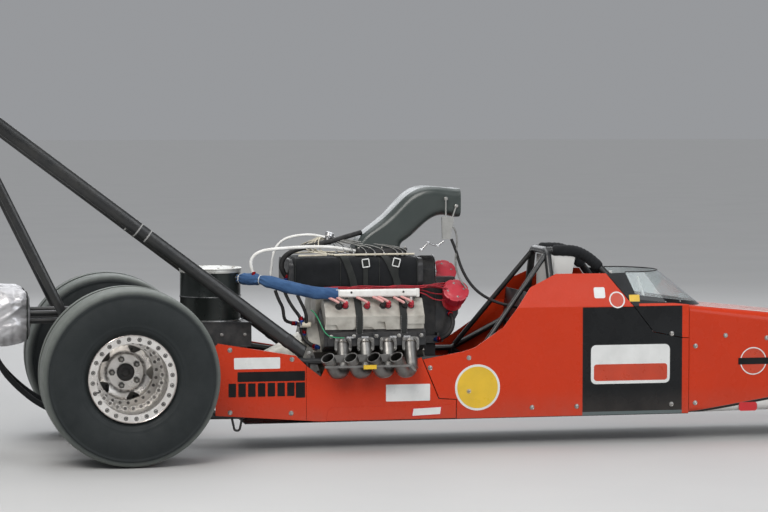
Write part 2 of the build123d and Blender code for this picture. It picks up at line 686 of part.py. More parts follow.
# Cockpit: bucket seat with the head surround above it, dashboard, steering wheel and brake lever
SEAT_SHELL = [(2345, 215), (2740, 225), (2740, 243), (2368, 233), (2262, 800), (2242, 800)]
SEAT_SIDE = [(2345, 215), (2740, 225), (2740, 300), (2450, 360), (2340, 640), (2290, 700), (2262, 690)]
SEAT_HALF = 190
SEAT_WALL = 16
HEAD_BOARD = [(2352, 800), (2362, 800), (2372, 1010), (2352, 1010)]
HEAD_CHEEK = [(2362, 850), (2470, 905), (2490, 1012), (2372, 1012)]
HEAD_HALF = 150
CHEEK_HALF = 4

with BuildPart() as seat:
    plate(SEAT_SHELL, SEAT_HALF, 2 * SEAT_HALF)
    for y in (SEAT_HALF + SEAT_WALL, -SEAT_HALF):
        plate(SEAT_SIDE, y, SEAT_WALL)
    plate(HEAD_BOARD, HEAD_HALF, 2 * HEAD_HALF)
    for y in (HEAD_HALF + CHEEK_HALF, -HEAD_HALF + CHEEK_HALF):
        plate(HEAD_CHEEK, y, 2 * CHEEK_HALF)
seat.part.label = "seat"
export_step(seat.part, "parts/seat.step")

WHEEL_STATION = 2880
WHEEL_Z = 640
COLUMN_RADIUS = 11
COLUMN_END = 3058
COLUMN_HOLE = 19
DASH_HALF = 240
DASH = [(2985, 590), (2999, 590), (3025, 712), (3009, 722)]
with BuildPart() as dashboard:
    plate(DASH, DASH_HALF, 2 * DASH_HALF)
    tube((WHEEL_STATION, 0, WHEEL_Z), (COLUMN_END + 60, 0, WHEEL_Z), COLUMN_HOLE, mode=Mode.SUBTRACT)
dashboard.part.label = "dashboard"
export_step(dashboard.part, "parts/dashboard.step")

with BuildPart() as steering_wheel:
    tube((WHEEL_STATION - 8, 0, WHEEL_Z), (WHEEL_STATION + 12, 0, WHEEL_Z), 34)
    tube((WHEEL_STATION, 0, WHEEL_Z), (COLUMN_END, 0, WHEEL_Z), COLUMN_RADIUS)
    for side in (-1, 1):
        tube((WHEEL_STATION, 0, WHEEL_Z), (WHEEL_STATION, side * 120, WHEEL_Z), 9)
        bent_bar(
            [(WHEEL_STATION, side * 70, WHEEL_Z - 85), (WHEEL_STATION, side * 128, WHEEL_Z - 60),
             (WHEEL_STATION, side * 122, WHEEL_Z + 85)],
            [40],
            13,
        )
steering_wheel.part.label = "steering_wheel"
export_step(steering_wheel.part, "parts/steering_wheel.step")

LEVER_Y = -240
with BuildPart() as brake_lever:
    plate([(2652, 205), (2668, 205), (2622, 500), (2606, 500)], LEVER_Y + 6, 12)
    tube((2614, LEVER_Y, 490), (2594, LEVER_Y, 620), 15)
    tube((2660, LEVER_Y - 14, 205), (2660, LEVER_Y + 14, 205), 22)
brake_lever.part.label = "brake_lever"
export_step(brake_lever.part, "parts/brake_lever.step")

# Engine: a ninety-degree V8. Cross-sections are (y, z) points of the right half, mirrored for the left.
BLOCK_HALF = [
    (0, 322), (132, 322), (140, 372), (168, 430), (262, 520), (122, 660), (0, 562),
]
HEAD = [(-263, 521), (-338, 556), (-338, 625), (-190, 745), (-123, 661)]
COVER = [(-334, 630), (-336, 712), (-272, 800), (-216, 802), (-184, 770), (-191, 746)]
MANIFOLD_HALF = [(0, 563), (110, 651), (117, 672), (138, 716), (150, 832), (0, 832)]
VALVE_COVER_REAR = 1070
VALVE_COVER_FRONT = 1606


def mirrored(half):
    """A closed cross-section from the points of its left half, which start and end on the middle line."""
    return half + [(-y, z) for y, z in reversed(half) if y > 0]


with BuildPart() as engine_block:
    long_bar(mirrored(BLOCK_HALF), ENGINE_REAR, ENGINE_FRONT)
    long_bar([(-128, 322), (-112, 180), (112, 180), (128, 322)], ENGINE_REAR + 10, ENGINE_FRONT - 10)
engine_block.part.label = "engine_block"
export_step(engine_block.part, "parts/engine_block.step")

# Motor plates at both ends of the engine reach out to the chassis rails
MOTOR_PLATE_HALF = [
    (0, 190), (150, 205), (200, 330), (282, 430), (282, 462), (214, 506), (120, 560), (0, 560),
]
MOTOR_PLATE_HOLES = [(240, 436), (-240, 436), (205, 400), (-205, 400)]
MOTOR_PLATE_HOLE = 14
MOTOR_PLATES = (990, ENGINE_FRONT)
PLATE_THICKNESS = 10
with BuildPart() as motor_plates:
    for station in MOTOR_PLATES:
        long_bar(mirrored(MOTOR_PLATE_HALF), station, station + PLATE_THICKNESS)
        with BuildSketch(cross_plane(station)):
            with Locations(*MOTOR_PLATE_HOLES):
                Circle(MOTOR_PLATE_HOLE)
        extrude(amount=PLATE_THICKNESS, mode=Mode.SUBTRACT)
motor_plates.part.label = "motor_plates"
export_step(motor_plates.part, "parts/motor_plates.step")

with BuildPart() as cylinder_heads:
    long_bar(HEAD, 1062, 1612)
    mirror(about=Plane.XZ)
cylinder_heads.part.label = "cylinder_heads"
export_step(cylinder_heads.part, "parts/cylinder_heads.step")

SCALLOP_DEPTH = 14
SCALLOPS = [
    (1060, 600), (1060, 668), (1128, 668), (1142, 642), (1216, 642), (1230, 656), (1316, 656), (1334, 642),
    (1342, 642), (1350, 682), (1390, 682), (1398, 640), (1492, 640), (1514, 668), (1616, 668), (1616, 600),
]
with BuildPart() as valve_covers:
    long_bar(COVER, VALVE_COVER_REAR, VALVE_COVER_FRONT)
    plate(SCALLOPS, COVER[0][0] + SCALLOP_DEPTH, 40, mode=Mode.SUBTRACT)
    mirror(about=Plane.XZ)
valve_covers.part.label = "valve_covers"
export_step(valve_covers.part, "parts/valve_covers.step")

with BuildPart() as intake_manifold:
    long_bar(mirrored(MANIFOLD_HALF), 1050, 1610)
intake_manifold.part.label = "intake_manifold"
export_step(intake_manifold.part, "parts/intake_manifold.step")

# Supercharger with the injector body on top and its pulley in front, inside its restraint blanket
BELT_REAR = 1645
BELT_FRONT = 1718
TOP_PULLEY_Z = 926
TOP_PULLEY = 78
CRANK_PULLEY = 92
BLANKET_REAR = 918
BLANKET_FRONT = 1617
BLANKET_HALF = 185
BLANKET_LOW = 833
BLANKET_TOP = 1020
BLANKET_WALL = 12
with BuildPart() as supercharger:
    with BuildSketch(cross_plane(BLANKET_REAR - 16)):
        with Locations((0, (BLANKET_LOW + BLANKET_TOP) / 2)):
            RectangleRounded(
                2 * (BLANKET_HALF - BLANKET_WALL), BLANKET_TOP - BLANKET_LOW - 2 * BLANKET_WALL, 40
            )
    extrude(amount=BLANKET_FRONT - BLANKET_REAR + 32)
    with BuildSketch(level_plane(BLANKET_TOP - 40)):
        with Locations((1420, 0)):
            RectangleRounded(260, 215, 20)
    extrude(amount=52)
    with BuildSketch(level_plane(BLANKET_TOP + 6)):
        with Locations((1420, 0)):
            RectangleRounded(284, 235, 20)
    extrude(amount=34)
    tube((BLANKET_FRONT, 0, TOP_PULLEY_Z), (BELT_FRONT, 0, TOP_PULLEY_Z), 30)
    tube((BELT_REAR - 3, 0, TOP_PULLEY_Z), (BELT_FRONT, 0, TOP_PULLEY_Z), TOP_PULLEY)
supercharger.part.label = "supercharger"
export_step(supercharger.part, "parts/supercharger.step")

with BuildPart() as blower_blanket:
    with BuildSketch(cross_plane(BLANKET_REAR)):
        with Locations((0, (BLANKET_LOW + BLANKET_TOP) / 2)):
            RectangleRounded(2 * BLANKET_HALF, BLANKET_TOP - BLANKET_LOW, 45)
    extrude(amount=BLANKET_FRONT - BLANKET_REAR)
    add(supercharger.part, mode=Mode.SUBTRACT)
blower_blanket.part.label = "blower_blanket"
export_step(blower_blanket.part, "parts/blower_blanket.step")

# Restraint straps over the blanket and down over both valve covers
STRAP_WIDTH = 44
STRAP_STATIONS = (1230, 1470)
STRAP_OUTER = [
    (0, 1025.5), (170, 1025.5), (191, 1004), (192, 850), (216, 808), (276, 807), (344, 716), (344, 614),
]
STRAP_INNER = [
    (340, 614), (340, 714.5), (274, 803), (214, 804), (188, 848), (187, 1002), (168, 1021.5), (0, 1021.5),
]
with BuildPart() as restraint_straps:
    for station in STRAP_STATIONS:
        long_bar(STRAP_OUTER + STRAP_INNER, station, station + STRAP_WIDTH)
    mirror(about=Plane.XZ)
    add(supercharger.part, mode=Mode.SUBTRACT)
restraint_straps.part.label = "restraint_straps"
export_step(restraint_straps.part, "parts/restraint_straps.step")

# Scoop sections: centre (station, z), tilt of the section from level, length and width
SCOOP_SECTIONS = [
    (1402, 1061, 0, 250, 205, 40),
    (1476, 1146, 26, 190, 222, 52),
    (1580, 1240, 48, 178, 245, 52),
    (1683, 1310, 61, 176, 275, 50),
    (1763, 1312, 76, 162, 300, 48),
    (1845, 1306, 90, 155, 322, 45),
]
SCOOP_WALL = 6
THROTTLE_Y = -168
THROTTLE_BRACKET = [(1737, 1229), (1804, 1229), (1784, 1110), (1740, 1110)]
THROTTLE_RODS = [((1760, 1220), (1760, 1330)), ((1794, 1220), (1818, 1290))]


def scoop_section(station, z, tilt, length, width, corner, inset):
    """One rounded section of the scoop, its normal tilted forward from straight up."""
    lean = radians(tilt)
    along = (cos(lean), 0, -sin(lean))
    plane = Plane(origin=at(station, 0, z), x_dir=along, z_dir=(sin(lean), 0, cos(lean)))
    with BuildSketch(plane) as section:
        RectangleRounded(length - 2 * inset, width - 2 * inset, corner - inset)
    return section.sketch


with BuildPart() as injector_scoop:
    loft([scoop_section(*row, 0) for row in SCOOP_SECTIONS])
    loft([scoop_section(*row, SCOOP_WALL) for row in SCOOP_SECTIONS], mode=Mode.SUBTRACT)
    with BuildPart(mode=Mode.PRIVATE) as bracket:
        plate(THROTTLE_BRACKET, THROTTLE_Y + 10, 20)
        for low, high in THROTTLE_RODS:
            tube((low[0], THROTTLE_Y, low[1]), (high[0], THROTTLE_Y, high[1]), 4)
            tube((high[0], THROTTLE_Y - 8, high[1]), (high[0], -120, high[1]), 7)
        add(loft([scoop_section(*row, 0) for row in SCOOP_SECTIONS], mode=Mode.PRIVATE), mode=Mode.SUBTRACT)
    add(bracket.part)
injector_scoop.part.label = "injector_scoop"
export_step(injector_scoop.part, "parts/injector_scoop.step")

# Magnetos lean to the right of the car. Each row is the cap's centre as (station, y, z).
MAGNETO_CAPS = [(1812, -185, 834), (1793, 30, 928)]
MAGNETO_LEAN = (0, -cos(radians(38)), sin(radians(38)))


def along_lean(cap, distance):
    """A point inboard of a magneto's cap, along its axis."""
    return tuple(c - n * distance for c, n in zip(cap, MAGNETO_LEAN))


with BuildPart() as magnetos:
    for cap in MAGNETO_CAPS:
        tube(along_lean(cap, 62), cap, 72)
        tube(along_lean(cap, 120), along_lean(cap, 60), 52)
magnetos.part.label = "magnetos"
export_step(magnetos.part, "parts/magnetos.step")

# Front cover with the crank pulley and, ahead of the belt, the magnetos' drive case on two arms
COVER_REAR = ENGINE_FRONT + PLATE_THICKNESS
COVER_HALF = [(0, 262), (96, 290), (140, 350), (150, 430), (140, 560), (0, 590)]
DRIVE_CASE_SIDE = [(1722, 545), (1762, 545), (1850, 700), (1850, 830), (1830, 900), (1722, 900)]
with BuildPart() as front_cover:
    long_bar(mirrored(COVER_HALF), COVER_REAR, COVER_REAR + 12)
    tube((COVER_REAR, 0, CRANK_Z), (BELT_FRONT, 0, CRANK_Z), CRANK_PULLEY)
    for y in (130, -112):
        plate([(COVER_REAR, 545), (1734, 545), (1734, 585), (COVER_REAR, 585)], y, 18)
    long_bar([(-130, 545), (130, 545), (130, 600), (-130, 600)], 1722, 1734)
    plate(DRIVE_CASE_SIDE, 50, 130)
    add(magnetos.part, mode=Mode.SUBTRACT)
front_cover.part.label = "front_cover"
export_step(front_cover.part, "parts/front_cover.step")

BELT = 8
with BuildPart() as drive_belt:
    with BuildSketch(cross_plane(BELT_REAR)) as belt:
        for grow, mode in ((BELT, Mode.ADD), (0, Mode.SUBTRACT)):
            with BuildSketch(mode=Mode.PRIVATE) as loop:
                with Locations((0, CRANK_Z)):
                    Circle(CRANK_PULLEY + grow)
                with Locations((0, TOP_PULLEY_Z)):
                    Circle(TOP_PULLEY + grow)
                make_hull()
            add(loop.sketch, mode=mode)
    extrude(amount=BELT_FRONT - BELT_REAR)
    add(supercharger.part, mode=Mode.SUBTRACT)
    add(front_cover.part, mode=Mode.SUBTRACT)
drive_belt.part.label = "drive_belt"
export_step(drive_belt.part, "parts/drive_belt.step")

# Exhaust pipes: the tip's station for each cylinder; the path's points are measured from the tip
TIP_STATIONS = (1056, 1178, 1300, 1422)
PIPE_RADIUS = 34
PIPE_WALL = 2.5
PIPE_PATH = [(106, -316, 584), (104, -384, 424), (48, -428, 422), (0, -476, 506)]
PIPE_BENDS = (45, 42)
HEAD_FACE_Y = -338
PORT_Z = 564
FLANGE_LENGTH = 92
FLANGE_HEIGHT = 76
FLANGE_THICKNESS = 9


with BuildPart() as exhaust_headers:
    for tip in TIP_STATIONS:
        path = [(tip + ahead, y, z) for ahead, y, z in PIPE_PATH]
        with BuildPart(mode=Mode.PRIVATE) as pipe:
            bent_bar(path, PIPE_BENDS, PIPE_RADIUS)
            bent_bar(path, PIPE_BENDS, PIPE_RADIUS - PIPE_WALL, mode=Mode.SUBTRACT)
            with BuildSketch(side_plane(HEAD_FACE_Y)):
                with Locations((tip + PIPE_PATH[0][0], PORT_Z)):
                    RectangleRounded(FLANGE_LENGTH, FLANGE_HEIGHT, 18)
                    Circle(PIPE_RADIUS - PIPE_WALL, mode=Mode.SUBTRACT)
            extrude(amount=FLANGE_THICKNESS)
        add(pipe.part)
    extrude(
        outline(level_plane(300), [(900, HEAD_FACE_Y), (1700, HEAD_FACE_Y), (1700, 0), (900, 0)]),
        amount=500, mode=Mode.SUBTRACT,
    )
    mirror(about=Plane.XZ)
exhaust_headers.part.label = "exhaust_headers"
export_step(exhaust_headers.part, "parts/exhaust_headers.step")

# Bellhousing, reverser housing and coupler tube, turned in one profile of (station, radius)
DRIVELINE = [
    (208, 0), (208, 46), (556, 46), (560, 92), (790, 92), (792, 108), (812, 118), (840, 132), (960, 194),
    (978, 206), (990, 206), (990, 0),
]
with BuildPart() as driveline_case:
    with BuildSketch(side_plane(0)):
        with BuildLine():
            Polyline(*[(station, CRANK_Z + radius) for station, radius in DRIVELINE], close=True)
        make_face()
    revolve(axis=Axis(at(0, 0, CRANK_Z), (1, 0, 0)))
    add(rear_axle_housing.part, mode=Mode.SUBTRACT)
driveline_case.part.label = "driveline_case"
export_step(driveline_case.part, "parts/driveline_case.step")

# Catch tank on its tray
TANK_STATION = 502
TANK_RADIUS = 165
TANK_BANDS = [(680, 940, TANK_RADIUS - 3), (806, 816, TANK_RADIUS), (936, 956, TANK_RADIUS)]
with BuildPart() as catch_tank:
    for low, high, radius in TANK_BANDS:
        tube((TANK_STATION, 0, low), (TANK_STATION, 0, high), radius)
catch_tank.part.label = "catch_tank"
export_step(catch_tank.part, "parts/catch_tank.step")

TRAY = [(400, 546), (700, 546), (700, 672), (640, 672), (640, 680), (336, 680), (336, 600), (400, 600)]
TRAY_HALF = 168
with BuildPart() as tank_tray:
    plate(TRAY, TRAY_HALF, 2 * TRAY_HALF)
    add(frame_crossmembers.part, mode=Mode.SUBTRACT)
tank_tray.part.label = "tank_tray"
export_step(tank_tray.part, "parts/tank_tray.step")

# Breather pipe over the right valve cover, and its cloth sleeve back to the tank
BREATHER_Y = -292
BREATHER_Z = 832
BREATHER_REAR = 1130
BREATHER_FRONT = 1580
SLEEVE_RADIUS = 31
SLEEVE_BENDS = (260, 300, 280)
SLEEVE_ROUTE = [
    (BREATHER_REAR, BREATHER_Y, BREATHER_Z), (1010, -286, 838), (880, -250, 872), (740, -180, 905),
    (640, -95, 905),
]
with BuildPart() as breather_pipe:
    with BuildSketch(cross_plane(BREATHER_REAR)):
        with Locations((BREATHER_Y, BREATHER_Z)):
            RectangleRounded(36, 42, 12)
    extrude(amount=BREATHER_FRONT - BREATHER_REAR)
    for station in (1190, 1540):
        tube((station, BREATHER_Y, 770), (station, BREATHER_Y, 815), 9)
    add(valve_covers.part, mode=Mode.SUBTRACT)
breather_pipe.part.label = "breather_pipe"
export_step(breather_pipe.part, "parts/breather_pipe.step")

with BuildPart() as breather_sleeve:
    bent_bar(SLEEVE_ROUTE, SLEEVE_BENDS, SLEEVE_RADIUS)
    add(catch_tank.part, mode=Mode.SUBTRACT)
    add(breather_pipe.part, mode=Mode.SUBTRACT)
breather_sleeve.part.label = "breather_sleeve"
export_step(breather_sleeve.part, "parts/breather_sleeve.step")

# Wing struts: oval tubes in two upright planes, as (foot station, foot z, head station, head z)
STRUT_Y = 280
STRUT_LONG = 72
STRUT_WIDE = 36
FRONT_FOOT = (972, 512)
REAR_FOOT = (-168, 462)

with BuildPart() as wing_struts:
    for y in (-STRUT_Y, STRUT_Y):
        oval_tube((FRONT_FOOT[0], y, FRONT_FOOT[1]), (-850, y, 1895), STRUT_LONG, STRUT_WIDE, 3)
        oval_tube((REAR_FOOT[0], y, REAR_FOOT[1]), (-812, y, 1788), 50, 30, 3)
    add(frame_sides.part, mode=Mode.SUBTRACT)
    add(frame_crossmembers.part, mode=Mode.SUBTRACT)
wing_struts.part.label = "wing_struts"
export_step(wing_struts.part, "parts/wing_struts.step")

# Brackets: a foot for each front strut, a foot for each rear strut and an apex plate under the wing
FOOT_BRACKET = [(955, 500), (975, 552), (1000, 548), (1054, 392), (1038, 384), (962, 440)]
BRACKET_HOLES = [(1002, 500), (1022, 462), (1036, 418), (985, 455)]
APEX_BRACKET = [(-960, 1990), (-800, 1966), (-812, 1900), (-868, 1868), (-912, 1900)]
with BuildPart() as wing_brackets:
    for side in (-1, 1):
        for y in (side * STRUT_Y + 24, side * STRUT_Y - 18):
            plate(FOOT_BRACKET, y, 6)
            plate(APEX_BRACKET, y, 6)
            with BuildSketch(side_plane(y)):
                with Locations(*BRACKET_HOLES):
                    Circle(7)
            extrude(amount=6, mode=Mode.SUBTRACT)
    add(frame_sides.part, mode=Mode.SUBTRACT)
    add(frame_crossmembers.part, mode=Mode.SUBTRACT)
    add(engine_block.part, mode=Mode.SUBTRACT)
    add(motor_plates.part, mode=Mode.SUBTRACT)
wing_brackets.part.label = "wing_brackets"
export_step(wing_brackets.part, "parts/wing_brackets.step")

# Rear wing: inverted aerofoils between end plates. Each row: leading station, z, chord, pitch in degrees.
WING_HALF_SPAN = 720
MAIN_PLANE = (-690, 1985, 480, -8)
FLAP = (-1150, 2084, 268, -28)
WING_END_PLATE = [
    (-650, 1830), (-650, 2130), (-1060, 2260), (WING_REAR, 2260), (WING_REAR, 1930), (-1000, 1830),
]


def aerofoil(leading, z, chord, pitch, y):
    """An inverted wing section: nearly flat above and curved below, its tail higher than its nose."""
    tilt = radians(pitch)
    plane = Plane(origin=at(leading, y, z), x_dir=(-cos(tilt), 0, -sin(tilt)), z_dir=(0, 1, 0))
    nose_low = (0.02 * chord, -0.03 * chord)
    nose_high = (0.02 * chord, 0.03 * chord)
    with BuildSketch(plane) as section:
        with BuildLine():
            ThreePointArc(nose_low, (0, 0), nose_high)
            ThreePointArc(nose_high, (0.5 * chord, 0.045 * chord), (chord, 0.008 * chord))
            Line((chord, 0.008 * chord), (chord, -0.008 * chord))
            ThreePointArc((chord, -0.008 * chord), (0.42 * chord, -0.085 * chord), nose_low)
        make_face()
    return section.sketch


with BuildPart() as rear_wing:
    for element in (MAIN_PLANE, FLAP):
        extrude(aerofoil(*element, -WING_HALF_SPAN + PANEL), amount=2 * (WING_HALF_SPAN - PANEL))
    add(wing_brackets.part, mode=Mode.SUBTRACT)
rear_wing.part.label = "rear_wing"
export_step(rear_wing.part, "parts/rear_wing.step")

with BuildPart() as wing_end_plates:
    plate(WING_END_PLATE, -WING_HALF_SPAN + PANEL, PANEL)
    mirror(about=Plane.XZ)
wing_end_plates.part.label = "wing_end_plates"
export_step(wing_end_plates.part, "parts/wing_end_plates.step")

# Parachutes: a soft pack on each pair of tubes
with BuildPart() as parachute_packs:
    with BuildSketch(cross_plane(PACK_REAR)):
        with Locations((-PARACHUTE_Y, 732), (PARACHUTE_Y, 732)):
            RectangleRounded(236, 290, 60)
    extrude(amount=PACK_FRONT - PACK_REAR)
parachute_packs.part.label = "parachute_packs"
export_step(parachute_packs.part, "parts/parachute_packs.step")

# Parachute tethers: a sleeved strap from the rear crossmember up to the underside of each pack
TETHER_RADIUS = 15
TETHER_ROUTE = [
    (-176, -200, 205), (-300, -200, 215), (-420, -200, 262), (-540, -200, 360), (-632, -198, 470),
    (-672, -190, 586),
]


def route_bends(route):
    """A radius for each bend of a cord's route, as large as its two runs allow."""
    points = [Vector(*at(*point)) for point in route]
    bends = []
    for before, corner, after in zip(points, points[1:], points[2:]):
        turn = radians((corner - before).get_angle(after - corner))
        shorter = min((corner - before).length, (after - corner).length)
        bends.append(0.45 * shorter / tan(turn / 2))
    print("cord bend radii", [round(bend) for bend in bends])
    return bends


def make_tether(side):
    route = [(station, -side * y, z) for station, y, z in TETHER_ROUTE]
    with BuildPart() as tether:
        bent_bar(route, route_bends(route), TETHER_RADIUS)
        add(frame_crossmembers.part, mode=Mode.SUBTRACT)
        add(parachute_packs.part, mode=Mode.SUBTRACT)
    return tether


tether_right = make_tether(-1)
tether_right.part.label = "tether_right"
export_step(tether_right.part, "parts/tether_right.step")

tether_left = make_tether(1)
tether_left.part.label = "tether_left"
export_step(tether_left.part, "parts/tether_left.step")

# Hoses: routes over the blanket, behind the engine and down from the throttle bracket
VENT_HOSE = [
    (902, -100, 908), (870, -103, 950), (874, -106, 1006), (920, -108, 1048), (1017, -105, 1076),
    (1140, -88, 1098), (1236, -60, 1124), (1320, -33, 1144),
]
FUEL_HOSE = [
    (712, -163, 930), (694, -164, 975), (704, -165, 1026), (752, -166, 1056), (830, -165, 1066),
    (940, -160, 1072), (1060, -148, 1076), (1180, -120, 1066), (1280, -90, 1046),
]
THROTTLE_HOSE = [
    (1790, -170, 1110), (1816, -171, 1050), (1834, -172, 980), (1870, -174, 900), (1925, -176, 830),
    (2000, -178, 780), (2094, -180, 746), (2196, -180, 730),
]
VENT_RADIUS = 14
FUEL_RADIUS = 9
THROTTLE_RADIUS = 8


def make_hose(route, radius, neighbours):
    with BuildPart() as hose:
        bent_bar(route, route_bends(route), radius)
        for neighbour in neighbours:
            add(neighbour.part, mode=Mode.SUBTRACT)
    return hose


vent_hose = make_hose(VENT_HOSE, VENT_RADIUS, [supercharger, injector_scoop])
vent_hose.part.label = "vent_hose"
export_step(vent_hose.part, "parts/vent_hose.step")

fuel_hose = make_hose(FUEL_HOSE, FUEL_RADIUS, [breather_sleeve, supercharger])
fuel_hose.part.label = "fuel_hose"
export_step(fuel_hose.part, "parts/fuel_hose.step")

throttle_hose = make_hose(THROTTLE_HOSE, THROTTLE_RADIUS, [injector_scoop, belly_pan])
throttle_hose.part.label = "throttle_hose"
export_step(throttle_hose.part, "parts/throttle_hose.step")
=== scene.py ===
import json
import math

import bmesh
import bpy
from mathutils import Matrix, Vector, noise


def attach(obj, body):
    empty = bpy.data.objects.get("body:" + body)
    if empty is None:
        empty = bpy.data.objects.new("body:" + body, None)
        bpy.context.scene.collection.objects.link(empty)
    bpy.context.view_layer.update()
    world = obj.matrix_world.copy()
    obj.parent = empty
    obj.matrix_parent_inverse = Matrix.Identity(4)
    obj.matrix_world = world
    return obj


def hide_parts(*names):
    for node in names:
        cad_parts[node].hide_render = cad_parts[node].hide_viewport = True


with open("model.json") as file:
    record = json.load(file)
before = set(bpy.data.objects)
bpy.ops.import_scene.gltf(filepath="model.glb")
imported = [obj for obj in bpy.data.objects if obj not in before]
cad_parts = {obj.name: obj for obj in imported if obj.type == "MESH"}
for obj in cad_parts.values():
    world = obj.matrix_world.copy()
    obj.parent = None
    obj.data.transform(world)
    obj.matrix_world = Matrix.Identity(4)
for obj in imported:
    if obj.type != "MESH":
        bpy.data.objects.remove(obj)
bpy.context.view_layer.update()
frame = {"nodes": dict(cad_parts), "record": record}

# Distances in the tables are millimetres. A station is a distance forward from the rear axle
MM = 0.001
REAR_AXLE_X = -3230
REAR_AXLE_Z = 453
REAR_TRACK = 1220
PANEL_Y = 330
BRACKET_FACE = -162
SIDES = ((-1, "right"), (1, "left"))


def at(station, y, z):
    """A point of the car in metres."""
    return Vector(((REAR_AXLE_X + station) * MM, y * MM, z * MM))


# Node trees
class Tree:
    """A material's nodes, made with short calls. Masks and positions are in millimetres."""

    def __init__(self, name):
        self.material = bpy.data.materials.new(name)
        self.material.use_nodes = True
        self.tree = self.material.node_tree
        self.shader = self.tree.nodes["Principled BSDF"]
        self.place = self.add("ShaderNodeTexCoord").outputs["Object"]

    def add(self, kind, inputs=(), **settings):
        """A node with its settings and with the constants of its inputs."""
        node = self.tree.nodes.new(kind)
        for key, value in settings.items():
            setattr(node, key, value)
        for key, value in inputs:
            node.inputs[key].default_value = value
        return node

    def link(self, source, target):
        self.tree.links.new(source, target)

    def stretched(self, scale):
        """The object's coordinates, scaled along each axis."""
        node = self.add("ShaderNodeMapping", [("Scale", scale)])
        self.link(self.place, node.inputs["Vector"])
        return node.outputs["Vector"]

    def noise(self, scale, detail=4.0, stretch=(1, 1, 1)):
        node = self.add("ShaderNodeTexNoise", [("Scale", scale), ("Detail", detail), ("Roughness", 0.55)])
        self.link(self.stretched(stretch), node.inputs["Vector"])
        return node.outputs["Fac"]

    def wave(self, scale, direction):
        node = self.add("ShaderNodeTexWave", [("Scale", scale)], bands_direction=direction)
        self.link(self.place, node.inputs["Vector"])
        return node.outputs["Fac"]

    def math(self, operation, first, second):
        node = self.add("ShaderNodeMath", operation=operation)
        for socket, value in zip(node.inputs, (first, second)):
            if isinstance(value, (int, float)):
                socket.default_value = value
            else:
                self.link(value, socket)
        return node.outputs["Value"]

    def times(self, first, second):
        return self.math("MULTIPLY", first, second)

    def axis(self, name):
        """One coordinate of the object."""
        node = self.add("ShaderNodeSeparateXYZ")
        self.link(self.place, node.inputs["Vector"])
        return self.times(node.outputs[name], 1000.0)

    def station(self):
        return self.math("ADD", self.axis("X"), -REAR_AXLE_X)

    def height(self):
        return self.axis("Z")

    def from_axle(self, grain, ruffle):
        """The distance from the rear axle, with a noise of that many millimetres."""
        ahead = self.station()
        up = self.math("SUBTRACT", self.height(), REAR_AXLE_Z)
        squares = self.math("ADD", self.times(ahead, ahead), self.times(up, up))
        return self.math("ADD", self.math("POWER", squares, 0.5), self.times(grain, ruffle))

    def remap(self, value, low, high, to_low=0.0, to_high=1.0):
        limits = [("From Min", low), ("From Max", high), ("To Min", to_low), ("To Max", to_high)]
        node = self.add("ShaderNodeMapRange", limits)
        self.link(value, node.inputs["Value"])
        return node.outputs["Result"]

    def flip(self, mask):
        return self.math("SUBTRACT", 1.0, mask)

    def over(self, value, limit, soft=1.0):
        """1 where a value is over a limit, 0 where it is under."""
        return self.remap(value, limit - soft, limit + soft)

    def under(self, value, limit, soft=1.0):
        return self.flip(self.over(value, limit, soft))

    def within(self, value, low, high, soft=1.0):
        return self.times(self.over(value, low, soft), self.under(value, high, soft))

    def over_line(self, start, end):
        """1 above the line through two (station, z) points."""
        slope = (end[1] - start[1]) / (end[0] - start[0])
        line = self.times(self.math("SUBTRACT", self.station(), start[0]), slope)
        return self.over(self.math("SUBTRACT", self.height(), line), start[1])

    def mix(self, factor, first, second):
        """Mixes two colours, each a tuple or an output."""
        node = self.add("ShaderNodeMix", data_type="RGBA")
        self.link(factor, node.inputs["Factor"])
        sockets = [socket for socket in node.inputs if socket.type == "RGBA"]
        for socket, value in zip(sockets, (first, second)):
            if isinstance(value, tuple):
                socket.default_value = (*value, 1.0)
            else:
                self.link(value, socket)
        return [socket for socket in node.outputs if socket.type == "RGBA"][0]

    def patchy(self, scale, first, second, detail=4.0):
        """Two colours, mixed by a noise."""
        return self.mix(self.noise(scale, detail), first, second)

    def bump(self, height, depth, strength=1.0):
        """Adds a bump of that depth in metres over what is there."""
        node = self.add("ShaderNodeBump", [("Strength", strength), ("Distance", depth)])
        self.link(height, node.inputs["Height"])
        normal = self.shader.inputs["Normal"]
        if normal.links:
            self.link(normal.links[0].from_socket, node.inputs["Normal"])
        self.link(node.outputs["Normal"], normal)

    def set(self, **values):
        for key, value in values.items():
            self.shader.inputs[key.replace("_", " ")].default_value = value

    def colour(self, output):
        self.link(output, self.shader.inputs["Base Color"])

    def roughness(self, output, low, high, from_low=0.3, from_high=0.7):
        """The shader's roughness, varied from low to high by a noise."""
        self.link(self.remap(output, from_low, from_high, low, high), self.shader.inputs["Roughness"])


# Looks: a colour and the colour of its worn or dirty places, roughness from and to, metal, patch size
LOOKS = {}


def finish(name, colour, other, roughness, metallic=0.0, blotch=6.0, grain=220.0, depth=0.0002, **more):
    """A surface whose colour, roughness and relief vary: other is the colour of its worn or dirty places."""
    tree = LOOKS[name] = Tree(name)
    tree.colour(tree.mix(tree.remap(tree.noise(blotch, 5.0), 0.38, 0.68), colour, other))
    tree.roughness(tree.noise(blotch * 2.5, 6.0), *roughness)
    tree.set(Metallic=metallic, **more)
    tree.bump(tree.noise(grain, 3.0), depth, 0.5)


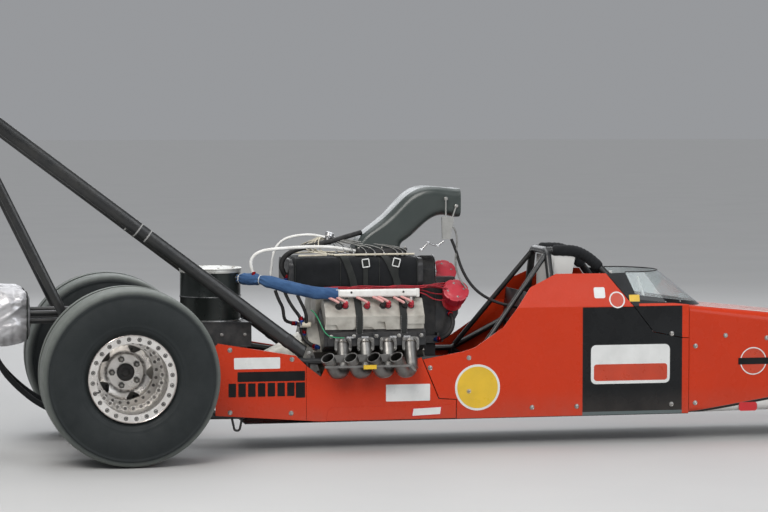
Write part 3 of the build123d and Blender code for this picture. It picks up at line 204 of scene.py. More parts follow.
def cloth(name, colour, other, threads=900.0, rough=0.85, metallic=0.0):
    """Woven fabric with two crossing sets of threads and soft wrinkles."""
    tree = LOOKS[name] = Tree(name)
    tree.colour(tree.mix(tree.remap(tree.noise(14.0, 5.0), 0.3, 0.7), colour, other))
    tree.set(Roughness=rough, Metallic=metallic, Specular_IOR_Level=0.25)
    tree.set(Sheen_Weight=0.06, Sheen_Roughness=0.5)
    tree.bump(tree.noise(38.0, 3.0), 0.0016, 0.7)
    tree.bump(tree.times(tree.wave(threads, "DIAGONAL"), tree.wave(threads, "Z")), 0.0003, 0.6)


DULL = {"Specular_IOR_Level": 0.35}
finish("tyre_rubber", (0.012, 0.012, 0.013), (0.024, 0.024, 0.024), (0.5, 0.7), grain=700.0,
       Specular_IOR_Level=0.3)
finish("polished_wheel", (0.74, 0.69, 0.65), (0.56, 0.49, 0.46), (0.12, 0.26), 1.0, 18.0, 900.0, 0.00005)
finish("dark_steel", (0.10, 0.10, 0.10), (0.19, 0.18, 0.16), (0.32, 0.5), 0.8, 20.0)
finish("cast_alloy", (0.52, 0.50, 0.45), (0.36, 0.34, 0.30), (0.34, 0.55), 0.85, 16.0, 500.0)
finish("frame_paint", (0.009, 0.010, 0.011), (0.018, 0.018, 0.017), (0.28, 0.45), blotch=14.0,
       Coat_Weight=0.1)
finish("black_panel", (0.004, 0.0045, 0.005), (0.009, 0.009, 0.009), (0.22, 0.4), blotch=8.0,
       Specular_IOR_Level=0.22)
finish("black_plastic", (0.009, 0.009, 0.010), (0.020, 0.020, 0.020), (0.4, 0.6), blotch=16.0, **DULL)
finish("black_metal", (0.016, 0.017, 0.019), (0.045, 0.043, 0.042), (0.3, 0.55), 0.3, 22.0)
cloth("black_cloth", (0.0045, 0.0055, 0.0065), (0.010, 0.011, 0.013))
finish("red_plastic", (0.55, 0.018, 0.028), (0.44, 0.012, 0.022), (0.25, 0.42), blotch=20.0)
finish("black_rubber", (0.009, 0.009, 0.010), (0.022, 0.021, 0.020), (0.45, 0.7), blotch=30.0, **DULL)
finish("header_steel", (0.24, 0.235, 0.225), (0.11, 0.105, 0.10), (0.34, 0.52), 1.0, 11.0, 420.0)
finish("white_plastic", (0.72, 0.72, 0.70), (0.60, 0.59, 0.56), (0.35, 0.55), blotch=18.0)
cloth("blue_cloth", (0.022, 0.060, 0.150), (0.045, 0.105, 0.225), 700.0)
finish("white_wing", (0.74, 0.74, 0.72), (0.66, 0.66, 0.64), (0.22, 0.34), blotch=5.0, Coat_Weight=0.4)
cloth("silver_cloth", (0.60, 0.60, 0.62), (0.44, 0.43, 0.44), 800.0, 0.3, 0.55)
finish("bolt_steel", (0.42, 0.41, 0.39), (0.16, 0.15, 0.14), (0.25, 0.45), 0.95, 60.0, 900.0)
finish("weld_steel", (0.30, 0.27, 0.23), (0.14, 0.12, 0.11), (0.35, 0.6), 0.95, 90.0, depth=0.0008)
finish("fitting_alloy", (0.60, 0.60, 0.60), (0.36, 0.36, 0.37), (0.2, 0.4), 1.0, 40.0)
finish("cap_red", (0.44, 0.022, 0.038), (0.34, 0.016, 0.030), (0.32, 0.48), blotch=14.0, depth=0.0001)
finish("boot_red", (0.42, 0.008, 0.024), (0.28, 0.008, 0.020), (0.4, 0.6), blotch=50.0)
finish("sleeve_pink", (0.62, 0.33, 0.31), (0.48, 0.22, 0.21), (0.45, 0.65), blotch=40.0)
finish("lead_red", (0.36, 0.010, 0.020), (0.22, 0.010, 0.018), (0.35, 0.55), blotch=30.0)
finish("line_grey", (0.30, 0.30, 0.29), (0.16, 0.16, 0.15), (0.35, 0.55), 0.4, 30.0)
finish("line_cream", (0.58, 0.54, 0.44), (0.42, 0.38, 0.30), (0.4, 0.6), blotch=25.0)
finish("line_green", (0.03, 0.30, 0.13), (0.02, 0.20, 0.09), (0.35, 0.5), blotch=40.0)
cloth("strap_web", (0.016, 0.018, 0.017), (0.026, 0.028, 0.027), 1400.0)
cloth("strap_blue", (0.02, 0.05, 0.17), (0.03, 0.07, 0.22), 1400.0)
finish("vinyl_grey", (0.22, 0.22, 0.22), (0.30, 0.30, 0.29), (0.4, 0.6), blotch=30.0)
for name, colour, other, roughness, more in (
    ("white", (0.64, 0.65, 0.64), (0.56, 0.57, 0.56), (0.25, 0.4), {}),
    ("black", (0.0035, 0.0035, 0.004), (0.008, 0.008, 0.008), (0.3, 0.45), {"Specular_IOR_Level": 0.2}),
    ("orange", (0.46, 0.040, 0.010), (0.39, 0.034, 0.009), (0.25, 0.4), {}),
    ("red", (0.48, 0.012, 0.016), (0.40, 0.010, 0.014), (0.25, 0.4), {}),
    ("yellow", (0.66, 0.42, 0.02), (0.56, 0.36, 0.02), (0.25, 0.4), {}),
):
    finish(f"vinyl_{name}", colour, other, roughness, blotch=9.0, depth=0.00005, **more)
finish("fitting_red", (0.40, 0.012, 0.020), (0.26, 0.010, 0.014), (0.22, 0.4), 0.9, 50.0)
finish("fitting_blue", (0.03, 0.09, 0.36), (0.02, 0.06, 0.24), (0.22, 0.4), 0.9, 50.0)
finish("white_lid", (0.62, 0.62, 0.58), (0.46, 0.46, 0.44), (0.25, 0.45), 0.6, 12.0)
cloth("seat_fabric", (0.020, 0.020, 0.022), (0.036, 0.036, 0.040), 800.0)
cloth("head_fabric", (0.50, 0.50, 0.48), (0.40, 0.40, 0.39), 900.0)

ORANGE = (0.50, 0.036, 0.009)
ORANGE_WORN = (0.43, 0.030, 0.008)
WHITE = (0.62, 0.62, 0.60)
DEEP_BLACK = (0.0035, 0.004, 0.0045)


def slick_rubber():
    """Dark sidewalls and a scrubbed pale tread, told apart by the distance from the axle."""
    tree = Tree("slick_rubber")
    tread = tree.remap(tree.from_axle(tree.noise(30.0), 4.0), 421, 451)
    side = tree.patchy(7.0, (0.007, 0.010, 0.011), (0.017, 0.021, 0.022), 5.0)
    scrubbed = tree.mix(tree.noise(26.0, 6.0, (1, 4, 1)), (0.105, 0.118, 0.109), (0.19, 0.205, 0.19))
    tree.set(Specular_IOR_Level=0.3)
    tree.colour(tree.mix(tread, side, scrubbed))
    tree.roughness(tree.noise(18.0, 6.0), 0.52, 0.75)
    tree.bump(tree.noise(700.0, 3.0), 0.0003, 0.5)
    tree.bump(tree.noise(60.0, 5.0, (1, 6, 1)), 0.0004, 0.4)
    return tree


def paint(name):
    """The gloss coat that all body panels share, and the orange that most of them start with."""
    tree = Tree(name)
    tree.set(Coat_Weight=0.06, Coat_Roughness=0.06, Specular_IOR_Level=0.16)
    tree.roughness(tree.noise(9.0, 6.0), 0.2, 0.36)
    tree.bump(tree.noise(5.0, 2.0), 0.0012, 0.12)
    tree.bump(tree.noise(260.0, 2.0), 0.00008, 0.4)
    return tree, tree.patchy(3.5, ORANGE, ORANGE_WORN)


def dusted(tree, colour):
    """Puts the dust of the road and fine chips over a panel's colours."""
    low = tree.times(tree.under(tree.height(), 210, 90), tree.noise(11.0, 6.0))
    dusty = tree.mix(tree.times(low, 0.35), colour, (0.16, 0.13, 0.11))
    chips = tree.remap(tree.noise(420.0, 2.0), 0.76, 0.79, 0.0, 0.5)
    tree.colour(tree.mix(chips, dusty, (0.20, 0.17, 0.15)))
    return tree


FIELD_ENDS = (2482, 3045)
FIELD_TOP = 741
FLOOR_STRIP_TOP = 173
SHOULDER_LINE = (743, 757)
NOSE_LINE = ((3090, 160), (3540, 230))
NOSE_LINE_EDGE = ((3090, 146), (3540, 216))
SCREEN_BAND = ((2817, 800), (3202, 752))


def cockpit_paint():
    """Orange with a black side under the shoulder line and a pale strip along the floor."""
    tree, orange = paint("cockpit_paint")
    field = tree.within(tree.station(), *FIELD_ENDS)
    black = tree.times(field, tree.under(tree.height(), FIELD_TOP))
    strip = tree.times(field, tree.under(tree.height(), FLOOR_STRIP_TOP))
    sides = tree.mix(black, orange, tree.patchy(6.0, DEEP_BLACK, (0.012, 0.013, 0.014)))
    return dusted(tree, tree.mix(strip, sides, (0.09, 0.12, 0.125)))


def cowl_paint():
    """Black round the screen, with one thin orange line along the shoulder."""
    tree, _ = paint("cowl_paint")
    black = tree.patchy(6.0, DEEP_BLACK, (0.014, 0.015, 0.016))
    line = tree.times(tree.within(tree.height(), *SHOULDER_LINE), tree.over(tree.station(), 2800))
    front = tree.over(tree.station(), FIELD_ENDS[1])
    return dusted(tree, tree.mix(tree.math("MAXIMUM", line, front), black, ORANGE))


def nose_paint():
    """Orange to a rising line edged in black, white beyond it, and licks of orange over the white top."""
    tree, orange = paint("nose_paint")
    white = tree.patchy(5.0, WHITE, (0.56, 0.56, 0.54))
    above = tree.over_line(*NOSE_LINE)
    edge = tree.math("SUBTRACT", tree.over_line(*NOSE_LINE_EDGE), above)
    sides = tree.mix(edge, tree.mix(above, white, orange), DEEP_BLACK)
    facing = tree.add("ShaderNodeSeparateXYZ")
    tree.link(tree.add("ShaderNodeTexCoord").outputs["Normal"], facing.inputs["Vector"])
    top = tree.times(tree.remap(facing.outputs["Z"], 0.86, 0.9), tree.over(tree.station(), 3150, 8))
    swirl = [("Scale", 3.1), ("Distortion", 9.0), ("Detail", 1.0), ("Detail Scale", 0.5)]
    licks = tree.add("ShaderNodeTexWave", swirl, bands_direction="Y")
    tree.link(tree.stretched((0.28, 1, 1)), licks.inputs["Vector"])
    fade = tree.remap(tree.station(), 3500, 5600, 0.0, 0.5)
    flame = tree.remap(tree.math("SUBTRACT", licks.outputs["Fac"], fade), 0.52, 0.54)
    return dusted(tree, tree.mix(top, sides, tree.mix(flame, white, orange)))


def glass():
    """A clear screen with a black band along its lower edge."""
    tree = Tree("clear_screen")
    tree.roughness(tree.noise(22.0, 6.0), 0.02, 0.14, 0.45, 0.75)
    clear = tree.patchy(8.0, (0.86, 0.93, 0.93), (0.92, 0.96, 0.96))
    band = tree.flip(tree.over_line(*SCREEN_BAND))
    tree.colour(tree.mix(band, clear, DEEP_BLACK))
    tree.link(tree.remap(band, 0.0, 1.0, 0.92, 0.0), tree.shader.inputs["Transmission Weight"])
    tree.set(IOR=1.45)
    tree.bump(tree.noise(9.0, 2.0), 0.0006, 0.3)
    return tree


def tank_look():
    """A dark drum, with a pale band painted under its lid as the highlight of its top rim."""
    tree = Tree("tank_drum")
    dark = tree.patchy(9.0, (0.016, 0.020, 0.019), (0.034, 0.040, 0.038), 5.0)
    pale = tree.patchy(12.0, (0.55, 0.55, 0.52), (0.40, 0.40, 0.38))
    # The pale band above 938 mm is a painted highlight on the drum's top rim.
    tree.colour(tree.mix(tree.over(tree.height(), 938), dark, pale))
    tree.set(Metallic=0.5)
    tree.roughness(tree.noise(14.0, 6.0), 0.22, 0.42)
    tree.bump(tree.noise(70.0, 3.0), 0.0003, 0.3)
    return tree


def seat_look():
    """A dark seat shell with a white head surround above it."""
    tree = Tree("seat_shell")
    dark = tree.patchy(12.0, (0.010, 0.010, 0.011), (0.020, 0.020, 0.021), 5.0)
    pale = tree.patchy(9.0, (0.60, 0.60, 0.58), (0.50, 0.50, 0.48))
    tree.colour(tree.mix(tree.over(tree.height(), 805), dark, pale))
    tree.roughness(tree.noise(20.0, 5.0), 0.35, 0.55)
    tree.bump(tree.noise(160.0, 3.0), 0.0002, 0.4)
    return tree


def scoop_look():
    """Painted moulding, with its throttle bracket on the right in bare alloy."""
    tree = Tree("scoop_shell")
    shell = tree.patchy(5.0, (0.042, 0.052, 0.049), (0.028, 0.037, 0.035), 5.0)
    alloy = tree.patchy(30.0, (0.34, 0.34, 0.33), (0.20, 0.20, 0.19), 5.0)
    tree.colour(tree.mix(tree.under(tree.axis("Y"), BRACKET_FACE), shell, alloy))
    tree.roughness(tree.noise(12.0, 6.0), 0.27, 0.42)
    tree.set(Coat_Weight=0.2, Specular_IOR_Level=0.35)
    tree.bump(tree.noise(120.0, 3.0), 0.0002, 0.4)
    return tree


def wheel_look():
    """Bright brushed alloy, with painted shade in the step round the hub."""
    tree = Tree("wheel_alloy")
    radius = tree.from_axle(tree.noise(40.0, 5.0), 12.0)
    clean = tree.mix(tree.remap(tree.noise(14.0, 6.0), 0.35, 0.7), (0.80, 0.78, 0.75), (0.62, 0.59, 0.56))
    # A dark ring in patches, painted in the step round the hub: painted shade of the recess.
    patches = tree.remap(tree.noise(60.0), 0.3, 0.6, 0.55, 0.95)
    step_shade = tree.times(tree.within(radius, 99, 116, 5), patches)
    tree.colour(tree.mix(step_shade, clean, (0.05, 0.045, 0.04)))
    tree.set(Metallic=0.8)
    tree.roughness(tree.noise(30.0, 6.0), 0.24, 0.38)
    tree.bump(tree.noise(700.0, 3.0), 0.00006, 0.4)
    return tree


LOOKS["slick_rubber"] = slick_rubber()
LOOKS["body_paint"] = dusted(*paint("body_paint"))
LOOKS["clear_screen"] = glass()
LOOKS["scoop_carbon"] = scoop_look()
OWN_LOOKS = {
    "catch_tank": tank_look(), "seat": seat_look(), "rear_rims": wheel_look(),
    "cockpit_side_panels": cockpit_paint(), "cockpit_cowl": cowl_paint(),
    **dict.fromkeys(("nose_upper", "nose_lower", "nose_cone"), nose_paint()),
}
SOFT_EDGES = {
    "valve_covers": 3.0, "cylinder_heads": 2.0, "front_cover": 2.0, "tank_tray": 2.5, "breather_pipe": 2.0,
    "catch_tank": 2.0, "injector_scoop": 1.5, "wing_brackets": 0.8, "front_rim_left": 1.0,
    "front_rim_right": 1.0, "driveline_case": 2.0, "rear_axle_housing": 2.0, "supercharger": 2.0,
}


def weld(obj):
    obj.modifiers.new("weld", "WELD").merge_threshold = 0.00002


def soften(obj, width, segments=2, angle=42, harden=False):
    """Rounds an object's edges by a width in millimetres."""
    soft = obj.modifiers.new("soft_edges", "BEVEL")
    soft.width = width * MM
    soft.segments = segments
    soft.limit_method = "ANGLE"
    soft.angle_limit = math.radians(angle)
    soft.harden_normals = harden


def subdivide(obj, levels):
    rounding = obj.modifiers.new("rounding", "SUBSURF")
    rounding.levels = levels
    rounding.render_levels = levels


for part in frame["record"]["subparts"]:
    node = frame["nodes"][part["node"]]
    node.data.materials.clear()
    node.data.materials.append(OWN_LOOKS.get(part["node"], LOOKS[part["material_slot"]]).material)
    if part["node"] in SOFT_EDGES:
        weld(node)
        soften(node, SOFT_EDGES[part["node"]])


def new_object(name, data):
    obj = bpy.data.objects.new(name, data)
    bpy.context.scene.collection.objects.link(obj)
    return obj


def settle(obj, look, body="chassis"):
    """Gives a piece its material and the body that it rides on."""
    obj.data.materials.append(LOOKS[look].material)
    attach(obj, body)
    return obj


def evaluated(obj):
    """A new mesh of an object as its modifiers shape it."""
    graph = bpy.context.evaluated_depsgraph_get()
    graph.update()
    return bpy.data.meshes.new_from_object(obj.evaluated_get(graph))


def mesh_of(name, forms):
    """A mesh of rows, each a solid's function and what it takes."""
    mesh = bmesh.new()
    for form, *details in forms:
        form(mesh, *details)
    bmesh.ops.recalc_face_normals(mesh, faces=mesh.faces)
    data = bpy.data.meshes.new(name)
    mesh.to_mesh(data)
    mesh.free()
    return data


def piece(name, look, forms, body="chassis", bevel=0.0, segments=2, smooth=35):
    """A piece of one or more solids that rides on its body. Bevel is in millimetres."""
    data = mesh_of(name, forms)
    data.shade_smooth()
    data.set_sharp_from_angle(angle=math.radians(smooth))
    obj = new_object(name, data)
    if bevel:
        soften(obj, bevel, segments, 40, True)
    return settle(obj, look, body)


def angles(count, first=0.0):
    """A full turn in equal steps."""
    return [first + 2 * math.pi * i / count for i in range(count)]


def circle(radius, count=8):
    """A round outline of flat points in millimetres."""
    return [(radius * math.cos(a), radius * math.sin(a)) for a in angles(count)]


def about(centre, radius, degrees, plane=(0, 2)):
    """The point at a radius and angle from a centre, in the plane of two axes."""
    place = list(centre)
    place[plane[0]] += radius * math.cos(math.radians(degrees))
    place[plane[1]] += radius * math.sin(math.radians(degrees))
    return tuple(place)


def all_about(centre, radius, count, first=0.0, plane=(0, 2)):
    return [about(centre, radius, first + 360 * i / count, plane) for i in range(count)]


def moved(place, *shift):
    return tuple(a + b for a, b in zip(place, shift))


def upright(points, y):
    """(station, z) points as places on the upright plane at y."""
    return [(x, y, z) for x, z in points]


def each(form, places, *details):
    """The same solid at each place."""
    return [(form, place, *details) for place in places]


def turned(profile, places, axis, segments=24):
    """The same turned solid at each place."""
    return [(turn, profile, place, axis, segments) for place in places]


def hoop(low, high, radius, edge, drop):
    """The profile of a flat band with chamfered edges."""
    return [(low, radius - drop), (low + edge, radius), (high - edge, radius), (high, radius - drop)]


def strip(mesh, rings):
    """Joins rings of points in metres one after another, and returns the first and last ones."""
    grid = [[mesh.verts.new(point) for point in ring] for ring in rings]
    for first, second in zip(grid, grid[1:]):
        for i in range(len(first)):
            j = (i + 1) % len(first)
            mesh.faces.new((first[i], first[j], second[j], second[i]))
    return grid[0], grid[-1]


def skin(mesh, rings, closed=False):
    """Skins rings of points. Closed joins the last ring to the first, else both ends are capped."""
    start, end = strip(mesh, rings)
    if closed:
        for i in range(len(start)):
            j = (i + 1) % len(start)
            mesh.faces.new((end[i], end[j], start[j], start[i]))
    else:
        mesh.faces.new(start[::-1])
        mesh.faces.new(end)


def ring_of(middle, side, up, radii):
    """A ring of points about a place in metres, with a radius in millimetres for each of its angles."""
    turns = zip(angles(len(radii)), radii)
    return [middle + (side * math.cos(a) + up * math.sin(a)) * radius * MM for a, radius in turns]


def turn(mesh, profile, centre, axis, segments=24, closed=False):
    """Turns (distance along the axis, radius) rows about an axis through centre."""
    axis = Vector(axis).normalized()
    side = axis.orthogonal().normalized()
    up = axis.cross(side)
    rings = []
    for along, radius in profile:
        rings.append(ring_of(at(*centre) + axis * along * MM, side, up, [radius] * segments))
    skin(mesh, rings, closed)


def rod(mesh, start, end, radius, segments=16):
    """A round bar, its ends a little rounded."""
    run = at(*end) - at(*start)
    length = run.length / MM
    soft = min(radius * 0.2, length * 0.2)
    turn(mesh, hoop(0, length, radius, soft, soft), start, run, segments)


def bolt(mesh, place, axis, radius, height):
    """A hexagon head on its washer, seated at place."""
    thin = height * 0.2
    washer = radius * 1.45
    turn(mesh, [(0, washer), (thin, washer), (thin * 1.3, washer * 0.92)], place, axis)
    turn(mesh, [(thin, radius), (height * 0.82, radius), (height, radius * 0.84)], place, axis, 6)


def dome(mesh, place, axis, radius, height, segments=20):
    """A low round head."""
    rows = [(0, 1.0), (0.35, 0.96), (0.7, 0.8), (0.92, 0.52), (1.0, 0.2)]
    turn(mesh, [(height * a, radius * r) for a, r in rows], place, axis, segments)


def bead(mesh, centre, axis, radius, thick, segments=40):
    """A round bead about an axis."""
    section = [(thick * math.sin(a), radius + thick * math.cos(a)) for a in angles(8)]
    turn(mesh, section, centre, axis, segments, True)


def slab(mesh, outline, depth):
    """Extrudes a flat outline of (station, y, z) points by a depth in the same terms."""
    points = [at(*point) for point in outline]
    skin(mesh, [points, [point + Vector(depth) * MM for point in points]])


def plate(mesh, outline, y, thickness):
    """A plate upright along the car, from (station, z) points, growing away from the middle."""
    slab(mesh, upright(outline, y), (0, math.copysign(thickness, y), 0))


def panel(mesh, low, high, y, thickness):
    """A rectangular plate, from its low and high (station, z) corners."""
    plate(mesh, [low, (high[0], low[1]), high, (low[0], high[1])], y, thickness)


def block(mesh, low, high):
    (x0, y0, z0), (x1, y1, z1) = low, high
    slab(mesh, [(x0, y0, z0), (x1, y0, z0), (x1, y1, z0), (x0, y1, z0)], (0, 0, z1 - z0))


def frames(points):
    """Each point of a line, with the level direction across it and the one upwards."""
    for i, point in enumerate(points):
        ahead = (points[min(i + 1, len(points) - 1)] - points[max(i - 1, 0)]).normalized()
        across = ahead.cross(Vector((0, 0, 1)))
        across = across.normalized() if across.length > 1e-3 else Vector((0, 1, 0))
        yield point, across, across.cross(ahead)


def sweep(mesh, points, outline):
    """Carries a small (across, up) outline in millimetres along points in metres, kept upright."""
    rings = []
    for point, across, up in frames(points):
        rings.append([point + (across * a + up * b) * MM for a, b in outline])
    skin(mesh, rings)


def around(line):
    return line + [line[0]]


def edges_of(corners):
    return zip(corners, corners[1:] + corners[:1])


def arc(start, middle, end, count):
    """Points along the arc through three (x, y) points."""
    (ax, ay), (bx, by), (cx, cy) = start, middle, end
    a, b, c = ax**2 + ay**2, bx**2 + by**2, cx**2 + cy**2
    double = 2 * (ax * (by - cy) + bx * (cy - ay) + cx * (ay - by))
    ux = (a * (by - cy) + b * (cy - ay) + c * (ay - by)) / double
    uy = (a * (cx - bx) + b * (ax - cx) + c * (bx - ax)) / double
    first, mid, last = (math.atan2(y - uy, x - ux) for x, y in (start, middle, end))
    mid = first + math.remainder(mid - first, 2 * math.pi)
    last = mid + math.remainder(last - mid, 2 * math.pi)
    radius = math.hypot(ax - ux, ay - uy)
    turns = [first + (last - first) * i / count for i in range(count + 1)]
    return [(ux + radius * math.cos(t), uy + radius * math.sin(t)) for t in turns]


def rounded(low, high, radius):
    """A rectangle with rounded corners, from its low and high (station, z) corners."""
    (x0, z0), (x1, z1) = low, high
    x0, z0, x1, z1 = x0 + radius, z0 + radius, x1 - radius, z1 - radius
    points = []
    for centre, first in (((x1, z1), 0), ((x0, z1), 90), ((x0, z0), 180), ((x1, z0), 270)):
        points += [about(centre, radius, first + 18 * i, (0, 1)) for i in range(6)]
    return points


def disc(x, z, radius, count=40):
    return all_about((x, z), radius, count, plane=(0, 1))


# Cords and lines
def add_line(data, places, radius):
    """Adds a smooth line through control points in metres to a curve."""
    line = data.splines.new("NURBS")
    line.points.add(len(places) - 1)
    for point, place in zip(line.points, places):
        point.co = (*place, 1.0)
        point.radius = radius * MM
    line.order_u = 3
    line.use_endpoint_u = True


def lines(name, radius, routes, resolution=12, round_steps=4):
    """Smooth round lines along routes, as one object."""
    data = bpy.data.curves.new(name, "CURVE")
    data.dimensions = "3D"
    data.bevel_depth = 1.0
    data.bevel_resolution = round_steps
    data.resolution_u = resolution
    data.use_fill_caps = True
    for route in routes:
        add_line(data, [at(*point) for point in route], radius)
    return new_object(name, data)


def line_of(obj):
    """The points of a curve's own line, in metres."""
    depth = obj.data.bevel_depth
    obj.data.bevel_depth = 0
    mesh = evaluated(obj)
    obj.data.bevel_depth = depth
    places = [vertex.co.copy() for vertex in mesh.vertices]
    bpy.data.meshes.remove(mesh)
    return places


def line_along(route, count):
    """About that many points along a smooth line through a route, in metres."""
    guide = lines("guide", 0, [route], max(4, count // len(route)))
    places = line_of(guide)
    bpy.data.objects.remove(guide)
    return places


def cord(name, look, radius, stiffness, lay, route, stands_for=None):
    """A cord along a route, as a smooth round line through its points."""
    obj = settle(lines(name, radius, [route]), look)
    if stands_for:
        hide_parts(stands_for)
    places = line_of(obj)


# Cords that take the place of CAD nodes, with the routes of those nodes as control points
TETHER = [
    (-176, 200, 205), (-300, 200, 215), (-420, 200, 262), (-540, 200, 360), (-632, 198, 470),
    (-672, 190, 586),
]
NODE_CORDS = [
    ("tether_right", "black_cloth", 15, "limp", "hanging", [(x, -y, z) for x, y, z in TETHER]),
    ("tether_left", "black_cloth", 15, "limp", "hanging", TETHER),
    ("vent_hose", "black_rubber", 14, "stiff", "loose",
     [(902, -100, 908), (870, -103, 950), (874, -106, 1006), (920, -108, 1048), (1017, -105, 1076),
      (1140, -88, 1098), (1236, -60, 1124), (1320, -33, 1144)]),
    ("fuel_hose", "white_plastic", 9, "stiff", "loose",
     [(712, -163, 930), (694, -164, 975), (704, -165, 1026), (752, -166, 1056), (830, -165, 1066),
      (940, -160, 1072), (1060, -148, 1076), (1180, -120, 1066), (1280, -90, 1046)]),
    ("throttle_hose", "black_rubber", 8, "stiff", "loose",
     [(1790, -170, 1110), (1816, -171, 1050), (1834, -172, 980), (1870, -174, 900), (1925, -176, 830),
      (2000, -178, 780), (2094, -180, 746), (2196, -180, 730)]),
]
for name, *details in NODE_CORDS:
    cord(f"{name}_line", *details, stands_for=name)


def wheel(side, out):
    """A rear wheel's centre, moved out along the axle."""
    return (0, side * (REAR_TRACK / 2 + out), REAR_AXLE_Z)


# Rear tyres: sidewalls with moulded ridges, and a broad plain tread
TYRE_HALF = (
    [(0, 453)] + arc((60, 452.6), (130, 450.8), (188, 446), 6) + arc((193, 444), (203, 438), (208, 427), 4)
    + [(209.5, 418), (212.4, 417), (213.0, 411), (211.6, 408)] + arc((213, 400), (219, 345), (206, 268), 9)
    + [(206.5, 262), (203.5, 259), (203, 254)] + [(198, 244), (192, 236), (185, 229), (182, 222), (180, 203)]
)
TYRE_INSIDE = [(150, 203), (166, 232), (190, 330), (180, 428)]
TYRE = (
    TYRE_HALF + [(-out, radius) for out, radius in TYRE_HALF[:0:-1]]
    + [(-out, radius) for out, radius in TYRE_INSIDE] + TYRE_INSIDE[::-1]
)
for side, end in SIDES:
    forms = [(turn, TYRE, wheel(side, 0), (0, side, 0), 192, True)]
    slick = piece(f"rear_tyre_{end}_slick", "slick_rubber", forms, "rear_wheels", smooth=50)
    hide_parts(f"rear_tyre_{end}")

# Bolts of the rear wheels: name, count, circle, distance out from the wheel's mid-plane, radius, first angle
WHEEL_BOLTS = [
    ("ring_bolts", 24, 201, 205.1, 8.2, 5), ("tab_bolts", 26, 170, 18.1, 6.4, 0),
    ("disc_bolts", 24, 158, -143.9, 6.0, 4),
]
ROTOR_FACE = 374.2
# Dark flat rings round the bolt heads: painted shadow round each head.
BOLT_SHADE_RING = [(0, 1.35), (0.8, 1.3), (0.8, 0.9)]
BOLT_HEAD = [(0.6, 1), (0.75, 0.85), (0.75, 0.5), (0.45, 0.48)]
STUD_CIRCLE = 70.5
HUB_CAP = [(0, 45), (3, 45), (4.5, 43), (5, 38), (3.5, 36), (3.5, 24), (6, 21), (7, 12), (7, 2)]
RING_LIP = [(-2, 218), (2.5, 219), (4, 221), (2.5, 223), (-2, 224), (-3, 221)]
for side, end in SIDES:
    outward = (0, side, 0)
    shade_rings = []
    sockets = []
    for name, count, circle_radius, out, radius, first in WHEEL_BOLTS:
        places = all_about(wheel(side, out), circle_radius, count, first)
        head = [(0.4, radius)] + [(radius * a, radius * r) for a, r in BOLT_HEAD] + [(radius * 0.45, 0.4)]
        # A dark disc in each head's socket: painted shade of the hole.
        socket = [(radius * 0.4, radius * 0.46), (radius * 0.56, radius * 0.44), (radius * 0.5, 0.4)]
        shade_rings += turned([(a, radius * r) for a, r in BOLT_SHADE_RING], places, outward, 18)
        sockets += turned(socket, places, outward, 10)
        piece(f"{name}_{end}", "bolt_steel", turned(head, places, outward, 18), "rear_wheels")
    # The dark rings round the heads are painted shadow.
    piece(f"bolt_shade_rings_{end}", "black_metal", shade_rings, "rear_wheels")
    piece(f"bolt_socket_shades_{end}", "black_metal", sockets, "rear_wheels")
    feet = all_about(wheel(side, -152), STUD_CIRCLE, 5, 108)
    tips = all_about(wheel(side, -134), STUD_CIRCLE, 5, 108)
    studs = [(rod, foot, tip, 7.5, 18) for foot, tip in zip(feet, tips)]
    piece(f"wheel_studs_{end}", "bolt_steel", studs, "rear_wheels")
    piece(f"hub_cap_{end}", "black_metal", [(turn, HUB_CAP, wheel(side, -150), outward, 48)], "rear_wheels")
    lip = [(turn, RING_LIP, wheel(side, 205), outward, 128, True)]
    piece(f"ring_lip_{end}", "polished_wheel", lip, "rear_wheels")
    foot = about(wheel(side, 204), 188, 200)
    tip = about(wheel(side, 222), 184, 200)
    piece(f"valve_stem_{end}", "black_rubber", [(rod, foot, tip, 3.6, 12)], "rear_wheels")
    rotor = (0, side * ROTOR_FACE, REAR_AXLE_Z)
    # Flat dark discs on the rotor's face for its drilled holes: painted shade of the holes.
    places = [about(rotor, 98 + 22 * (i % 3), 10 * i) for i in range(36)]
    hole_shades = turned([(0, 5.2), (0.5, 4.6), (0.5, 1)], places, outward, 10)
    piece(f"rotor_hole_shades_{end}", "black_metal", hole_shades, "rear_wheels")

# The five openings between hub and rim in each wheel disc: (out from the axle, sideways)
WINDOW_FIRST = -2
WINDOW = [
    (139, -31), (142, 0), (139, 31), (134, 34), (127, 31), (112, 14), (107, 9), (107, -9), (112, -14),
    (127, -31), (134, -34),
]


def make_rims():
    """The rims with their openings: a piece of its own, which replaces the closed discs of the CAD node."""
    cuts = []
    for side in (-1, 1):
        for degrees in range(WINDOW_FIRST, WINDOW_FIRST + 360, 72):
            middle = wheel(side, -195)
            outline = [about(about(middle, out, degrees), aside, degrees + 90) for out, aside in WINDOW]
            cuts.append((slab, outline, (0, side * 60, 0)))
    openings = new_object("openings", mesh_of("openings", cuts))
    closed = new_object("rims", frame["nodes"]["rear_rims"].data.copy())
    weld(closed)
    cut = closed.modifiers.new("openings", "BOOLEAN")
    cut.operation = "DIFFERENCE"
    cut.object = openings
    mesh = evaluated(closed)
    bpy.data.objects.remove(closed)
    bpy.data.objects.remove(openings)
    mesh.materials.clear()
    mesh.materials.append(OWN_LOOKS["rear_rims"].material)
    rims = new_object("rear_wheel_rims", mesh)
    soften(rims, 1.2)
    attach(rims, "rear_wheels")
    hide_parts("rear_rims")


make_rims()

